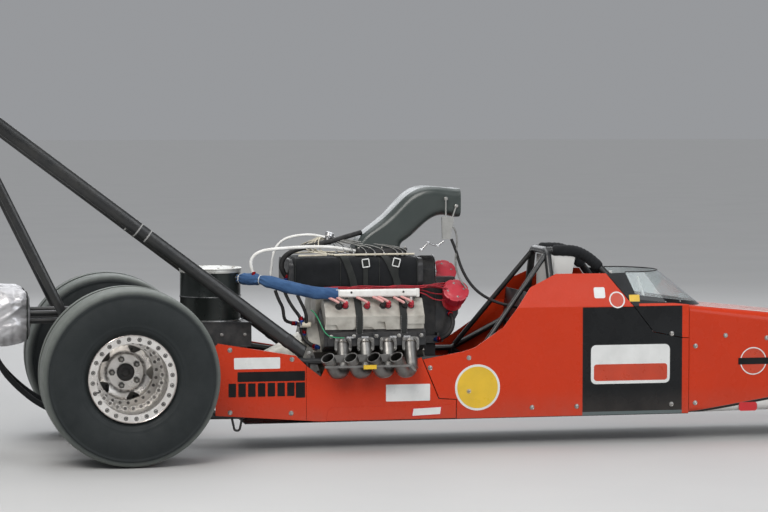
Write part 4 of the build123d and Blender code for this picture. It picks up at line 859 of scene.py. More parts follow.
# Quarter-turn fasteners along the panels: (station, z), on both sides
FASTENERS = [
    (560, 545), (890, 490), (885, 205), (560, 215), (1170, 205), (1741, 202), (1637, 430), (1300, 205),
    (1520, 205), (1850, 300), (1850, 480), (2200, 205), (2450, 205), (2985, 590), (2985, 205),
]
NOSE_FASTENERS = [
    (3294, 575), (3532, 557), (3121, 209), (3121, 520), (3900, 530), (4400, 492), (4900, 455), (5500, 410),
    (6100, 365), (6700, 322), (3900, 190), (4700, 182), (5600, 172), (6500, 160),
]
NOSE_WIDTHS = [(3086, 330), (3540, 324), (5200, 252), (7200, 150)]


def nose_half(station):
    """Half the nose's width at a station."""
    for (s0, w0), (s1, w1) in zip(NOSE_WIDTHS, NOSE_WIDTHS[1:]):
        if station <= s1:
            return w0 + (w1 - w0) * (station - s0) / (s1 - s0)


def fastener(mesh, station, y, z, side):
    """A flush stud: a dished ring, a round head in it and the slot that turns it."""
    place = (station, y, z)
    turn(mesh, [(0, 13), (1.4, 12.6), (1.8, 11), (1.0, 9.5), (0.6, 9.2)], place, (0, side, 0), 24)
    turn(mesh, [(0.2, 8.2), (1.6, 8.0), (2.2, 6.5), (2.2, 1)], place, (0, side, 0), 20)
    block(mesh, (station - 6, y + side * 1.6 - 0.5, z - 0.9), (station + 6, y + side * 1.6 + 1.2, z + 0.9))


for side, end in SIDES:
    studs = [(fastener, x, side * (PANEL_Y + 0.2), z, side) for x, z in FASTENERS]
    studs += [(fastener, x, side * (nose_half(x) + 0.3), z, side) for x, z in NOSE_FASTENERS]
    piece(f"panel_fasteners_{end}", "bolt_steel", studs, smooth=30)

# Blank signs of thin vinyl: name, look, y, thickness and outlines of (station, z)
DISC_Y = nose_half(3455)
SIGNS = [
    ("sign_white_rear", "vinyl_white", PANEL_Y + 0.1, 0.6, [rounded((582, 443), (827, 503), 6)]),
    ("sign_dark_band", "vinyl_black", PANEL_Y + 0.1, 0.6, [rounded((600, 376), (960, 428), 4)]),
    ("sign_dark_end", "vinyl_black", PANEL_Y + 0.1, 0.6, [rounded((910, 286), (960, 368), 4)]),
    ("sign_white_mid", "vinyl_white", PANEL_Y + 0.1, 0.6, [rounded((1397, 255), (1637, 345), 4)]),
    ("sign_white_side", "vinyl_white", PANEL_Y + 0.1, 0.6, [rounded((2529, 323), (2975, 535), 28)]),
    ("sign_field_side", "vinyl_orange", PANEL_Y + 0.8, 0.6, [rounded((2546, 340), (2960, 430), 16)]),
    ("sign_round_rim", "vinyl_white", PANEL_Y + 0.1, 0.6, [disc(1898, 320, 124, 64)]),
    ("sign_round_mid", "vinyl_yellow", PANEL_Y + 0.8, 0.6, [disc(1898, 320, 112, 64)]),
    ("sign_blocks", "vinyl_black", PANEL_Y + 0.1, 0.6,
     [rounded((low, 296), (low + 40, 368), 4) for low in range(552, 900, 52)]),
    ("sill_sign_rim", "vinyl_red", PANEL_Y + 3.1, 0.6,
     [[(1533, 171), (1697, 177), (1703, 224), (1539, 218)]]),
    ("sill_sign", "vinyl_white", PANEL_Y + 3.8, 0.5, [[(1540, 176), (1691, 182), (1696, 219), (1546, 213)]]),
    ("nose_disc_rim", "vinyl_white", DISC_Y + 1.6, 0.6, [disc(3455, 432, 76)]),
    ("nose_disc_mid", "vinyl_orange", DISC_Y + 2.2, 0.6, [disc(3455, 432, 70)]),
    ("nose_bar", "vinyl_black", DISC_Y + 3.2, 0.6, [rounded((3368, 414), (3542, 450), 3)]),
    ("nose_sign", "vinyl_red", nose_half(3425) + 1.6, 0.6, [rounded((3373, 158), (3478, 206), 14)]),
]
for side, end in SIDES:
    for name, look, y, thickness, outlines in SIGNS:
        piece(f"{name}_{end}", look, [(plate, outline, side * y, thickness) for outline in outlines])

# Exhaust pipes: a collar at each tip, weld beads, flange bolts and the braces that tie the four
TIPS = (1056, 1178, 1300, 1422)
COLLAR = [(-30, 34.4), (-28, 36.6), (-2, 37.2), (2.5, 36.4), (2.5, 33.0), (-4, 32.2), (-6, 34.2)]
BRACE_LOW = [(1036, 455), (1494, 455), (1514, 432), (1528, 432), (1502, 467), (1036, 467)]
for side, end in SIDES:
    lean = Vector((-48, side * 48, 84)).normalized()
    collars = []
    beads = []
    bolts = []
    for tip in TIPS:
        centre = (tip, side * 476, 506)
        collars.append((turn, COLLAR, centre, lean, 48, True))
        beads += [
            (bead, moved(centre, *(-lean * 32)), lean, 34.6, 1.5),
            (bead, (tip + 105.4, side * 327, 568.5), (0.05, side * -0.4, 0.92), 35.5, 2.0),
            (bead, (tip + 104.2, side * 378, 438), (0.01, side * -0.39, 0.92), 34.4, 1.3),
        ]
        for ahead, up in ((-37, 26), (37, -26), (37, 26), (-37, -26)):
            bolts.append((bolt, (tip + 106 + ahead, side * 347, 564 + up), (0, side, 0), 5.5, 8))
    piece(f"pipe_collars_{end}", "header_steel", collars, smooth=40)
    piece(f"pipe_welds_{end}", "weld_steel", beads)
    piece(f"flange_bolts_{end}", "bolt_steel", bolts)
    braces = [(plate, BRACE_LOW, side * 494, 3)]
    for first, second in zip(TIPS, TIPS[1:]):
        braces.append((panel, (first + 40, 480), (second - 26, 520), side * 446, 3))
    piece(f"pipe_braces_{end}", "header_steel", braces, bevel=0.6)
    piece(f"brace_label_{end}", "vinyl_yellow", [(panel, (1243, 447), (1312, 469), side * 497.8, 0.8)])

# Spark plug boots stand on the covers' slope: station, lift along it, look
BOOTS = [
    (1147, 0, "black_rubber"), (1182, 4, "boot_red"), (1299, 0, "boot_red"), (1386, 2, "black_rubber"),
    (1413, 4, "boot_red"), (1500, -6, "black_rubber"), (1538, 2, "boot_red"),
]
BOOT = [(0, 14), (5, 14.5), (7, 12.6), (20, 12), (22, 13.6), (28, 13.6), (30, 10.5), (40, 9), (42, 6)]
BOOT_SEAT = [(0, 19), (1.5, 19), (2.5, 16), (1.5, 13), (0.5, 12)]
SLOPE_OUT = 0.588
SLOPE_UP = 0.809
CAP_CENTRES = [(1812, -185, 834), (1793, 30, 928)]
CAP_LEAN = Vector((0, -math.cos(math.radians(38)), math.sin(math.radians(38))))


def boot_point(side, station, up, lift):
    """A point above a cover's slope: lift runs up the slope, up stands off it."""
    y = 300 - lift * SLOPE_OUT + up * SLOPE_UP
    return (station, side * y, 761 + lift * SLOPE_UP + up * SLOPE_OUT)


for side, end in SIDES:
    out = (0, side * SLOPE_UP, SLOPE_OUT)
    places = [boot_point(side, station, 0.2, lift) for station, lift, _ in BOOTS]
    piece(f"plug_seats_{end}", "black_metal", turned(BOOT_SEAT, places, out, 28))
    for name, look in (("black", "black_rubber"), ("red", "boot_red")):
        places = [boot_point(side, station, 0.6, lift) for station, lift, own in BOOTS if own == look]
        piece(f"plug_boots_{name}_{end}", look, turned(BOOT, places, out))


def lead_route(side, number):
    """A boot's lead: it loops back over its cover, joins the bundle and ends under a magneto's cap."""
    station, lift, _ = BOOTS[number]
    angle = math.radians(150 + 34 * number)
    across = Vector((math.cos(angle), -0.6 * math.sin(angle), -0.8 * math.sin(angle)))
    port = Vector(CAP_CENTRES[0] if side < 0 else CAP_CENTRES[1]) - CAP_LEAN * 44 + across * 62
    layer = number % 3
    top = boot_point(side, station, 40, lift)
    return [
        boot_point(side, station, 22, lift), top, (station - 34, top[1] - side * 8, top[2] + 18),
        (station - 82, side * 274, 824), (station - 104, side * 246, 842), (station - 72, side * 218, 862),
        (station + 6, side * 222, 856 + 5 * layer), (station + 90, side * (228 + 3 * layer), 850 + 5 * layer),
        (1600 + 8 * number, side * (222 + 4 * (number % 2)) if side < 0 else 150, 842 + 5 * number),
        tuple(port + across * 26 + Vector((-30, 0, 0))), tuple(port),
    ]


for side, end in SIDES:
    for number in range(len(BOOTS)):
        cord(f"plug_lead_{end}_{number + 1}", "lead_red", 3.6, "medium", "loose", lead_route(side, number))

# Pale red heat sleeves over the leads' first stretch out of the boots
SLEEVE_REACH = 0.066
for side, end in SIDES:
    sleeves = []
    for number, (station, lift, _) in enumerate(BOOTS):
        line = line_along(lead_route(side, number), 96)
        start = at(*boot_point(side, station, 40, lift))
        first = min(range(len(line)), key=lambda i: (line[i] - start).length)
        stretch = [place for place in line[first:] if (place - line[first]).length < SLEEVE_REACH]
        sleeves.append((sweep, stretch, circle(7.4, 12)))
    piece(f"lead_sleeves_{end}", "sleeve_pink", sleeves)

# Magnetos: a lobed cap over a ribbed body
CAP = [
    (-58, 60), (-56, 66), (-14, 68), (-12, 72), (-2, 72), (0, 70), (1.5, 60), (1.5, 52), (3, 50), (3.4, 20),
    (3.4, 4),
]
RIB = ((8, 55), (13, 55), (14.5, 50), (18, 50))
RIBS = [(along + 12 * i, radius) for i in range(5) for along, radius in RIB]
CAP_LOBES = 8
CAP_SIDE = CAP_LEAN.orthogonal().normalized()
CAP_UP = CAP_LEAN.cross(CAP_SIDE)
caps = []
bodies = []
screws = []
for centre in CAP_CENTRES:
    rings = []
    for along, radius in CAP:
        dent = 0.945 if radius >= 64 else 1
        radii = [radius * (1 if math.cos(CAP_LOBES * a) < 0.86 else dent) for a in angles(144)]
        rings.append(ring_of(at(*centre) + CAP_LEAN * along * MM, CAP_SIDE, CAP_UP, radii))
    caps.append((skin, rings))
    foot = moved(centre, *(-CAP_LEAN * 128))
    bodies.append((turn, [(0, 40), (4, 50), *RIBS, (69, 56), (72, 40)], foot, CAP_LEAN, 56))
    for a in angles(4, math.pi / 4):
        place = Vector(centre) + (CAP_SIDE * math.cos(a) + CAP_UP * math.sin(a)) * 44 + CAP_LEAN * 3.2
        screws.append((bolt, tuple(place), CAP_LEAN, 4, 4))
cap = piece("magneto_caps", "cap_red", caps, smooth=40)
piece("magneto_bodies", "red_plastic", bodies, smooth=40)
piece("magneto_screws", "bolt_steel", screws)
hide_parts("magnetos")


def strap_ring(middle, wide, thick):
    """The cross-section of a flat strap about a (station, y, z) place."""
    corners = (-wide - thick, wide - thick, wide + thick, -wide + thick)
    return [at(*(middle + corner)) for corner in corners]


# Restraint straps lean forward on their way down, then run straight over the covers: y, z, share of the lean
STRAP_HALF_WIDTH = 21
STRAPS = [("strap_rear", 1194, 1252), ("strap_front", 1418, 1492)]
STRAP_LINE = [
    (0, 1024, 0.0), (90, 1025, 0.0), (160, 1024, 0.05), (184, 1012, 0.15), (190, 980, 0.4), (190.5, 900, 0.9),
    (196, 850, 1.0), (216, 812, 1.0), (246, 806, 1.0), (276, 804, 1.0), (310, 762, 1.0), (340.5, 714, 1.0),
    (343, 690, 1.0), (343, 612, 1.0),
]
for name, top, foot in STRAPS:
    bands = []
    stitches = []
    for side in (-1, 1):
        rings = []
        for y, z, share in STRAP_LINE:
            facing = Vector((0, side, 0.3)) if z < 1000 else Vector((0, side * 0.3, 0.9))
            half = facing.normalized() * 2.2
            middle = Vector((top + (foot - top) * share, side * y, z))
            rings.append(strap_ring(middle, Vector((STRAP_HALF_WIDTH, 0, 0)), half))
        bands.append((skin, rings))
        for x in (foot - 15.96, foot + 15.96):
            for z in range(620, 712, 9):
                low = (x - 0.8, side * 346.1 - 0.6, z)
                stitches.append((block, low, moved(low, 1.6, 1.2, 5)))
    strap = piece(name, "strap_web", bands, smooth=60)
    subdivide(strap, 2)
    piece(f"{name}_stitches", "vinyl_grey", stitches)
    if name == "strap_rear":
        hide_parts("restraint_straps")

# Square wire buckles on short tails at the blanket's top edge: station, z, tilt
BUCKLES = [(1315, 986, 8), (1482, 988, -14)]
BUCKLE_CORNERS = ((-18, -21), (18, -21), (18, 21), (-18, 21))
for side, end in SIDES:
    wires = []
    tails = []
    for station, z, tilt in BUCKLES:
        middle = (station, side * 193, z)
        corners = [about(about(middle, a, tilt), b, tilt + 90) for a, b in BUCKLE_CORNERS]
        wires += [(rod, first, second, 3.2, 10) for first, second in edges_of(corners)]
        tails.append((panel, (station - 13, z - 150), (station + 13, z + 16), side * 187.5, 3.0))
    piece(f"buckles_{end}", "vinyl_white", wires)
    piece(f"buckle_tails_{end}", "strap_web", tails, bevel=1.0)

# Restraint blanket: crowned quilted panels between seams, with piping along its edges
BLANKET_ENDS = (918, 1617)
BLANKET_HALF = 185
BLANKET_LOW = 833
BLANKET_TOP = 1020
BLANKET_CORNER = 42
SEAMS = (934, 1180, 1392, 1600)


def blanket_ring(inset, count):
    """The blanket's cross-section as (y, z, share of the way round it), starting under its middle."""
    corner = BLANKET_CORNER - inset
    y1 = BLANKET_HALF - inset - corner
    z0 = BLANKET_LOW + inset + corner
    z1 = BLANKET_TOP - inset - corner
    outline = []
    for centre, first in (((y1, z0), 270), ((y1, z1), 0), ((-y1, z1), 90), ((-y1, z0), 180)):
        outline += [Vector(about(centre, corner, first + 11.25 * i, (0, 1))) for i in range(9)]
    outline.append(outline[0].copy())
    lengths = [(b - a).length for a, b in zip(outline, outline[1:])]
    total = sum(lengths)
    points = []
    edge = 0
    passed = 0.0
    for i in range(count):
        target = total * i / count
        while passed + lengths[edge] < target:
            passed += lengths[edge]
            edge += 1
        spot = outline[edge].lerp(outline[edge + 1], (target - passed) / lengths[edge])
        points.append((spot.x, spot.y, i / count))
    return points


def make_blanket():
    steps = 120
    section = blanket_ring(6, 128)
    rings = []
    middle = Vector((0, (BLANKET_LOW + BLANKET_TOP) / 2))
    rear, front = BLANKET_ENDS
    for k in range(steps + 1):
        station = rear + (front - rear) * k / steps
        crown = 1 - math.exp(-((min(abs(station - seam) for seam in SEAMS) / 26) ** 2))
        end = min(k, steps - k)
        tuck = 1.0 if end > 4 else 0.90 + 0.1 * math.sqrt(end / 4)
        ring = []
        for y, z, way in section:
            spot = Vector((y, z)) - middle
            edge = abs(math.sin(2 * math.pi * (way + 0.062)))
            wave = noise.noise(Vector((station * 0.012, y * 0.02, z * 0.02)))
            fine = noise.noise(Vector((station * 0.045, y * 0.05, z * 0.03)))
            puff = 5.5 * crown * (0.35 + 0.65 * edge) + 3.0 * wave + 1.2 * fine - 1.5
            spot = spot * tuck + spot.normalized() * puff
            ring.append(at(station, spot.x, spot.y + middle.y))
        rings.append(ring)
    blanket = piece("blower_blanket_cloth", "black_cloth", [(skin, rings)], smooth=70)
    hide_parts("blower_blanket")
    piping = []
    for seam in SEAMS:
        inset = 3.2 if seam in (SEAMS[0], SEAMS[-1]) else 5.0
        line = [at(seam, y, z) for y, z, _ in blanket_ring(inset, 96)]
        piping.append((sweep, around(line), circle(2.4)))
    piece("blanket_piping", "strap_web", piping)


make_blanket()

# Fuel lines: a hub behind the scoop feeds a fan of nozzle lines to the fittings on the blanket's top edge
HUB = (1136, -52, 1112)
HUB_FORM = [(-30, 14), (-26, 24), (-6, 26), (-4, 20), (12, 20), (16, 25), (34, 23), (38, 12)]
NOZZLE = [(0, 8), (3, 9), (9, 9), (11, 6.5), (20, 6), (22, 4)]
NOZZLES = [1215, 1262, 1330, 1378, 1428, 1500, 1530, 1556]
starts = all_about(moved(HUB, 0, 0, 6), 20, 8, plane=(0, 1))
tips = all_about(moved(HUB, 0, 0, 8), 36, 8, plane=(0, 1))
hub = [(turn, HUB_FORM, HUB, (0.3, 0, 1), 28)] + [(rod, start, tip, 5, 6) for start, tip in zip(starts, tips)]
piece("fuel_hub", "fitting_alloy", hub)
fan = []
loops = []
fittings = []
rails = []
for side in (-1, 1):
    for i, station in enumerate(NOZZLES):
        lift = 1086 + 6 * (i % 3)
        middle = (HUB[0] + (station - HUB[0]) * 0.45, HUB[1] + (side * 110 - HUB[1]) * 0.6, lift)
        near = (HUB[0] + 30, HUB[1] + side * 22, lift + 14)
        fan.append([HUB, near, middle, (station - 6, side * 124, 1066), (station, side * 128, 1037)])
        fittings.append((turn, NOZZLE, (station, side * 128, 1019), (0, 0, 1), 6))
    for i in range(4):
        reach = HUB[0] - 60 - 22 * i
        loops.append([
            HUB, (HUB[0] - 24, HUB[1] + side * 14, 1126 - 5 * i), (reach, HUB[1] + side * 40, 1118 - 9 * i),
            (reach - 8, side * 130, 1062 - 3 * i), (reach + 40, side * 150, 1034 + i * 2),
            (HUB[0] - 10 + 18 * i, side * 146, 1030),
        ])
    rails.append((rod, (1150, side * 150, 1029), (1590, side * 150, 1031), 5.5, 14))
    rails.append((rod, (956, side * 152, 1027), (1110, side * 150, 1029), 5.0, 14))
settle(lines("nozzle_lines", 2.5, fan, round_steps=3), "line_grey")
settle(lines("nozzle_loops", 3.2, loops, round_steps=3), "line_cream")
piece("nozzle_fittings", "fitting_alloy", fittings)
piece("fuel_rails", "line_cream", rails)
flange = [(bolt, (x, y, 1060), (0, 0, 1), 6, 8) for x in (1292, 1352, 1420, 1488, 1548) for y in (-108, 108)]
piece("injector_bolts", "bolt_steel", flange)

# Valve cover bolts, head studs and the casting ribs between the exhaust ports
CREASES = ((1074, 1222), (1284, 1462), (1522, 1602))
for side, end in SIDES:
    bolts = [(bolt, (station, side * 244, 801), (0, 0, 1), 6.5, 8) for station in (1092, 1330, 1366, 1590)]
    bolts += [(bolt, (1100 + 122 * i, side * 338, 606), (0, side, 0), 7.5, 10) for i in range(5)]
    piece(f"head_bolts_{end}", "bolt_steel", bolts)
    ribs = [(panel, (1078 + 122 * i, 560), (1085 + 122 * i, 622), side * 337.6, 5) for i in range(5)]
    ribs.append((panel, (1066, 590), (1608, 597), side * 337.4, 4))
    piece(f"head_ribs_{end}", "black_metal", ribs, bevel=1.2)
    tabs = [(panel, (x - 19, 597), (x + 19, 607), side * 343, 6) for x in (1199, 1280, 1432, 1508)]
    piece(f"cover_tabs_{end}", "fitting_alloy", tabs, bevel=1.0)
    creases = [(panel, (low, 704), (high, 708), side * 336.2, 0.9) for low, high in CREASES]
    piece(f"cover_crease_{end}", "cast_alloy", creases, bevel=0.4)

# Cloth sleeve of the breather: sewn flat, gathered round its hose behind the pipe and tied near the tank
SLEEVE_LINE = [
    (1142, -292, 833), (1100, -291, 834), (1010, -286, 840), (880, -256, 870), (760, -194, 904),
    (690, -140, 906), (640, -95, 905),
]
SLEEVE_TIES = (0.745, 0.985)


def make_sleeve():
    line = line_along(SLEEVE_LINE, 130)
    rings = []
    for i, (place, across, up) in enumerate(frames(line)):
        share = i / (len(line) - 1)
        tie = max(math.exp(-((share - t) / 0.022) ** 2) for t in SLEEVE_TIES)
        near = max(math.exp(-((share - t) / 0.06) ** 2) for t in SLEEVE_TIES)
        ring = []
        for a in angles(72):
            pleat = math.sin(9 * a + 1.2 * math.sin(27 * share)) * 2.2 * near
            fold = noise.noise(Vector((share * 9.0, math.cos(a) * 1.1, math.sin(a) * 1.1)))
            ridge = 1 - abs(noise.noise(Vector((share * 11 + a, math.cos(a) * 1.3, math.sin(a) * 1.3)))) * 2
            radius = 30.0 - 7.0 * tie - 2.5 * near + 4.5 * fold + 2.2 * ridge * abs(ridge) + pleat
            sag = 3.5 if math.sin(a) < -0.2 and 0.08 < share < 0.7 else 0.0
            spoke = across * math.cos(a) * radius * 0.92 + up * math.sin(a) * (radius + sag)
            ring.append(place + spoke * MM)
        rings.append(ring)
    sleeve = piece("sleeve_cloth", "blue_cloth", [(strip, rings)], smooth=80)
    sleeve.modifiers.new("thickness", "SOLIDIFY").thickness = 0.0012
    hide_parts("breather_sleeve")
    knots = []
    for share in SLEEVE_TIES:
        i = round(share * (len(line) - 1))
        place = moved(line[i] / MM, -REAR_AXLE_X, 0, 0)
        ahead = line[min(i + 1, len(line) - 1)] - line[i - 1]
        knots.append((turn, hoop(-2, 2, 26, 0.8, 1.5), place, ahead, 40))
    tie = piece("sleeve_ties", "vinyl_white", knots)


make_sleeve()

# Breather pipe: studs, cuffs and stays
studs = turned([(0, 6), (2.5, 5.6), (3, 4)], [(1214, -310, 838), (1496, -310, 838)], (0, -1, 0), 20)
piece("breather_studs", "black_metal", studs)
cuffs = [(block, (low, -311.5, 809.5), (high, -272.5, 854.5)) for low, high in ((1128, 1148), (1566, 1584))]
piece("breather_cuffs", "white_plastic", cuffs, bevel=4.0, segments=3)
stays = [(block, (station - 8, -302, 800), (station + 8, -282, 812)) for station in (1190, 1386, 1556)]
piece("breather_stays", "black_metal", stays, bevel=1.5)

# Lines behind the engine: name, look, radius, stiffness, points
LINES = [
    ("drain_hose_rear", "black_rubber", 9, "medium",
     [(818, -226, 850), (836, -222, 800), (862, -214, 756), (868, -200, 706), (884, -180, 676),
      (930, -168, 668)]),
    ("drain_hose_mid", "black_rubber", 9, "medium",
     [(866, -246, 842), (884, -244, 800), (914, -238, 752), (944, -232, 716), (958, -230, 690)]),
    ("drain_hose_front", "black_rubber", 9, "medium",
     [(930, -272, 826), (946, -270, 792), (968, -262, 752), (984, -250, 706), (982, -236, 660),
      (976, -214, 620)]),
    ("oil_hose", "black_rubber", 11, "stiff",
     [(960, -204, 664), (962, -206, 630), (974, -214, 590), (1000, -230, 560), (1030, -262, 548)]),
    ("fuel_feed", "black_rubber", 12, "stiff",
     [(1800, -84, 700), (1804, -120, 694), (1806, -156, 660), (1790, -168, 610), (1750, -160, 574),
      (1722, -138, 566)]),
    ("sense_line", "line_green", 3, "medium",
     [(1010, -236, 742), (1022, -262, 732), (1034, -306, 704), (1046, -338, 668), (1062, -346, 632),
      (1088, -348, 608), (1124, -348, 602), (1168, -346, 600)]),
    ("return_hose", "white_plastic", 7, "stiff",
     [(814, -86, 905), (820, -84, 962), (828, -82, 1022), (846, -80, 1076), (892, -78, 1116),
      (966, -77, 1134), (1050, -76, 1138), (1112, -72, 1122)]),
    ("vacuum_hose", "line_grey", 5, "stiff",
     [(1782, -168, 1196), (1806, -172, 1172), (1822, -173, 1120), (1818, -173, 1050), (1811, -173, 986),
      (1820, -174, 930), (1846, -175, 874), (1884, -176, 826)]),
]
for name, look, radius, stiffness, route in LINES:
    cord(name, look, radius, stiffness, "hanging", route)

# Hose ends: place, axis, hose radius
HOSE_ENDS = [
    ((958, -230, 688), (0.2, 0, -1), 9), ((934, -168, 667), (1, 0.2, -0.1), 9),
    ((976, -213, 617), (-0.1, 0.3, -1), 9), ((1032, -264, 548), (0.6, -0.8, -0.1), 11),
    ((1724, -140, 566), (-0.7, 0.7, -0.1), 12),
    ((902, -100, 904), (0, 0, -1), 14), ((712, -163, 926), (0, 0, -1), 9), ((1800, -88, 700), (0, 1, 0), 12),
]
red = []
blue = []
for place, axis, radius in HOSE_ENDS:
    red.append((turn, hoop(-20, 0, radius + 3, 2, 2), place, axis, 24))
    blue.append((turn, [(-1, radius + 4.5), (9, radius + 4.5), (10, radius + 2)], place, axis, 6))
    blue.append((turn, [(9.5, radius - 1), (22, radius - 1), (24, radius - 3)], place, axis, 20))
piece("hose_sockets", "fitting_red", red)
piece("hose_nuts", "fitting_blue", blue, bevel=0.6)
tube = [(turn, [(0, 13), (3, 15), (44, 15), (48, 12)], (962, -232, 664), (1, -0.2, 0.02), 28)]
piece("oil_filter_tube", "line_cream", tube)
OIL_BLOCK = [(0, 20), (3, 24), (30, 24), (34, 18), (46, 18), (48, 14)]
piece("oil_block", "fitting_alloy", [(turn, OIL_BLOCK, (962, -206, 652), (0, -0.2, 1), 32)])

# Catch tank: lid, band clamps and spout. The tray: folded rims and bolts
TANK_STATION = 502
TANK_LID = [
    (0, 166), (1.5, 168), (7, 168), (9, 165), (9.5, 150), (6, 146), (6, 120), (9, 116), (10, 60),
    (10.5, 30), (10.5, 4),
]
piece("tank_lid", "white_lid", [(turn, TANK_LID, (TANK_STATION, 0, 954), (0, 0, 1), 96)], smooth=30)
bands = []
for z, radius, tall in ((676, 166, 12), (808, 166.5, 6)):
    bands.append((turn, hoop(0, tall, radius, 1.5, 3), (TANK_STATION, 0, z), (0, 0, 1), 96))
piece("tank_bands", "fitting_alloy", bands)
lid_bolts = all_about((TANK_STATION, 0, 960), 132, 8, math.degrees(0.2), (0, 1))
bolts = each(bolt, lid_bolts, (0, 0, 1), 5, 6)
for side in (-1, 1):
    bolts += each(bolt, [(x, side * 168, 612) for x in (436, 540, 664)], (0, side, 0), 6, 5)
piece("tank_bolts", "bolt_steel", bolts)
rims = []
for side in (-1, 1):
    rims.append((plate, [(330, 676), (706, 668), (706, 678), (330, 686)], side * 168.3, 4))
    rims.append((panel, (400, 546), (700, 554), side * 168.3, 4))
piece("tray_rims", "black_metal", rims, bevel=1.2)
SPOUT = [(0, 22), (3, 27), (22, 27), (24, 34), (30, 34), (32, 30)]
piece("tank_spout", "black_metal", [(turn, SPOUT, (650, -92, 905), (-0.93, 0.36, 0), 36)])

# Struts: tape bands, collars, and bolts through the brackets' holes
STRUT_Y = 280
STRUT_HALF_LONG = 36
STRUT_HALF_WIDE = 18
BRACKET_OUTSIDE = 304.2
BRACKET_INSIDE = 255.8
FOOT_HOLES = [(985, 520), (967, 470)]
HEAD_HOLES = [(-930, 1962), (-848, 1946), (-850, 1905), (-812, 1925)]
TAPE = hoop(-4, 4, 1.1, 0.6, 0.9)
STRUT_TRIM = [
    ("bands", "vinyl_grey", [(0.458, TAPE), (0.484, TAPE)]),
    ("collars", "black_metal", [(0.052, hoop(-16, 16, 2.4, 1.5, 2)), (0.955, hoop(-20, 20, 2.4, 1.5, 2))]),
]
for side, end in SIDES:
    foot = Vector((972, side * STRUT_Y, 512))
    run = Vector((-850, side * STRUT_Y, 1895)) - foot
    along = run.normalized()
    across = Vector((-along.z, 0, along.x))
    for name, look, bands in STRUT_TRIM:
        forms = []
        for share, rows in bands:
            rings = []
            for step, lift in rows:
                middle = at(*(foot + run * share + along * step))
                long = across * (STRUT_HALF_LONG + lift) * MM
                wide = Vector((0, STRUT_HALF_WIDE + lift, 0)) * MM
                rings.append([middle + long * math.cos(a) + wide * math.sin(a) for a in angles(48)])
            forms.append((skin, rings))
        piece(f"strut_{name}_{end}", look, forms)
    bolts = each(bolt, upright(FOOT_HOLES, side * BRACKET_OUTSIDE), (0, side, 0), 7.5, 7)
    bolts += each(bolt, upright(HEAD_HOLES, side * BRACKET_OUTSIDE), (0, side, 0), 7, 6)
    bolts += each(bolt, upright(HEAD_HOLES, side * BRACKET_INSIDE), (0, -side, 0), 7, 6)
    piece(f"bracket_bolts_{end}", "bolt_steel", bolts)

# Parachute packs: silver cloth drawn tight over a folded canopy, with a dark bound edge towards the tubes
# that is also painted shade for the shadow along that edge
PACK_REAR = -762
PACK_FRONT = -488
PACK_Y = 135
PACK_Z = 732
PACK_HALF = 108
PACK_TALL = 134
PACK_SQUARENESS = 0.42
CLOTH_CELL = 8.5 * MM
CLOTH_FRAMES = 16
CLOTH_REACH = 12 * MM


def pack_outline(count, grow):
    """A pack's cross-section, a rounded rectangle, as (y, z)."""
    points = []
    for a in angles(count):
        c, s = math.cos(a), math.sin(a)
        points.append((math.copysign(abs(c) ** PACK_SQUARENESS, c) * (PACK_HALF + grow),
                       math.copysign(abs(s) ** PACK_SQUARENESS, s) * (PACK_TALL + grow)))
    return points


def pack_rings(steps=36):
    rings = []
    for k in range(steps + 1):
        share = k / steps
        drop = -16 * math.exp(-((min(share, 1 - share) / 0.07) ** 2)) + (3 if 0.2 < share < 0.7 else 0)
        sag = -8 * math.sin(math.pi * share)
        station = PACK_REAR + (PACK_FRONT - PACK_REAR) * share
        rings.append([at(station, y - PACK_Y, PACK_Z + z + sag * (1 if z < 0 else 0.35))
                      for y, z in pack_outline(96, drop)])
    return rings


def crumple(place):
    """How far the cloth's folds stand out at a place in metres, in millimetres."""
    x, y, z = place
    ridge = 1 - 2 * abs(noise.noise(Vector((x * 5 + z * 3, y * 6, z * 17 - x * 7))))
    second = 1 - 2 * abs(noise.noise(Vector((x * 11, y * 12 + 3, z * 33 + x * 14))))
    return 7.5 * ridge * abs(ridge) + 2.6 * second * abs(second)


def apply_modifiers(obj):
    shaped = evaluated(obj)
    obj.modifiers.clear()
    obj.data = shaped


def swell(obj):
    """Remeshes a closed piece, creases it, and lets cloth under a little pressure settle it."""
    remesh = obj.modifiers.new("remesh", "REMESH")
    remesh.mode = "VOXEL"
    remesh.voxel_size = CLOTH_CELL
    apply_modifiers(obj)
    for vertex in obj.data.vertices:
        vertex.co += vertex.normal * crumple(vertex.co) * MM
    rest = [vertex.co.copy() for vertex in obj.data.vertices]
    simulated = obj.modifiers.new("cloth", "CLOTH")
    settings = simulated.settings
    settings.quality = 5
    settings.use_pressure = True
    settings.uniform_pressure_force = 3.5
    settings.tension_stiffness = 24
    settings.compression_stiffness = 10
    settings.bending_stiffness = 0.35
    settings.effector_weights.gravity = 0
    settings.shrink_min = -0.03
    simulated.point_cache.frame_start = 1
    simulated.point_cache.frame_end = CLOTH_FRAMES
    for number in range(1, CLOTH_FRAMES + 1):
        bpy.context.scene.frame_set(number)
    apply_modifiers(obj)
    bpy.context.scene.frame_set(1)
    for vertex, start in zip(obj.data.vertices, rest):
        shift = vertex.co - start
        if shift.length > CLOTH_REACH:
            vertex.co = start + shift.normalized() * CLOTH_REACH


def make_packs():
    right = piece("pack_right", "silver_cloth", [(skin, pack_rings())], smooth=180)
    swell(right)
    right.data.shade_smooth()
    data = right.data.copy()
    data.materials.clear()
    for vertex in data.vertices:
        vertex.co.y = -vertex.co.y
    data.flip_normals()
    left = settle(new_object("pack_left", data), "silver_cloth")
    subdivide(right, 1)
    subdivide(left, 1)
    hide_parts("parachute_packs")


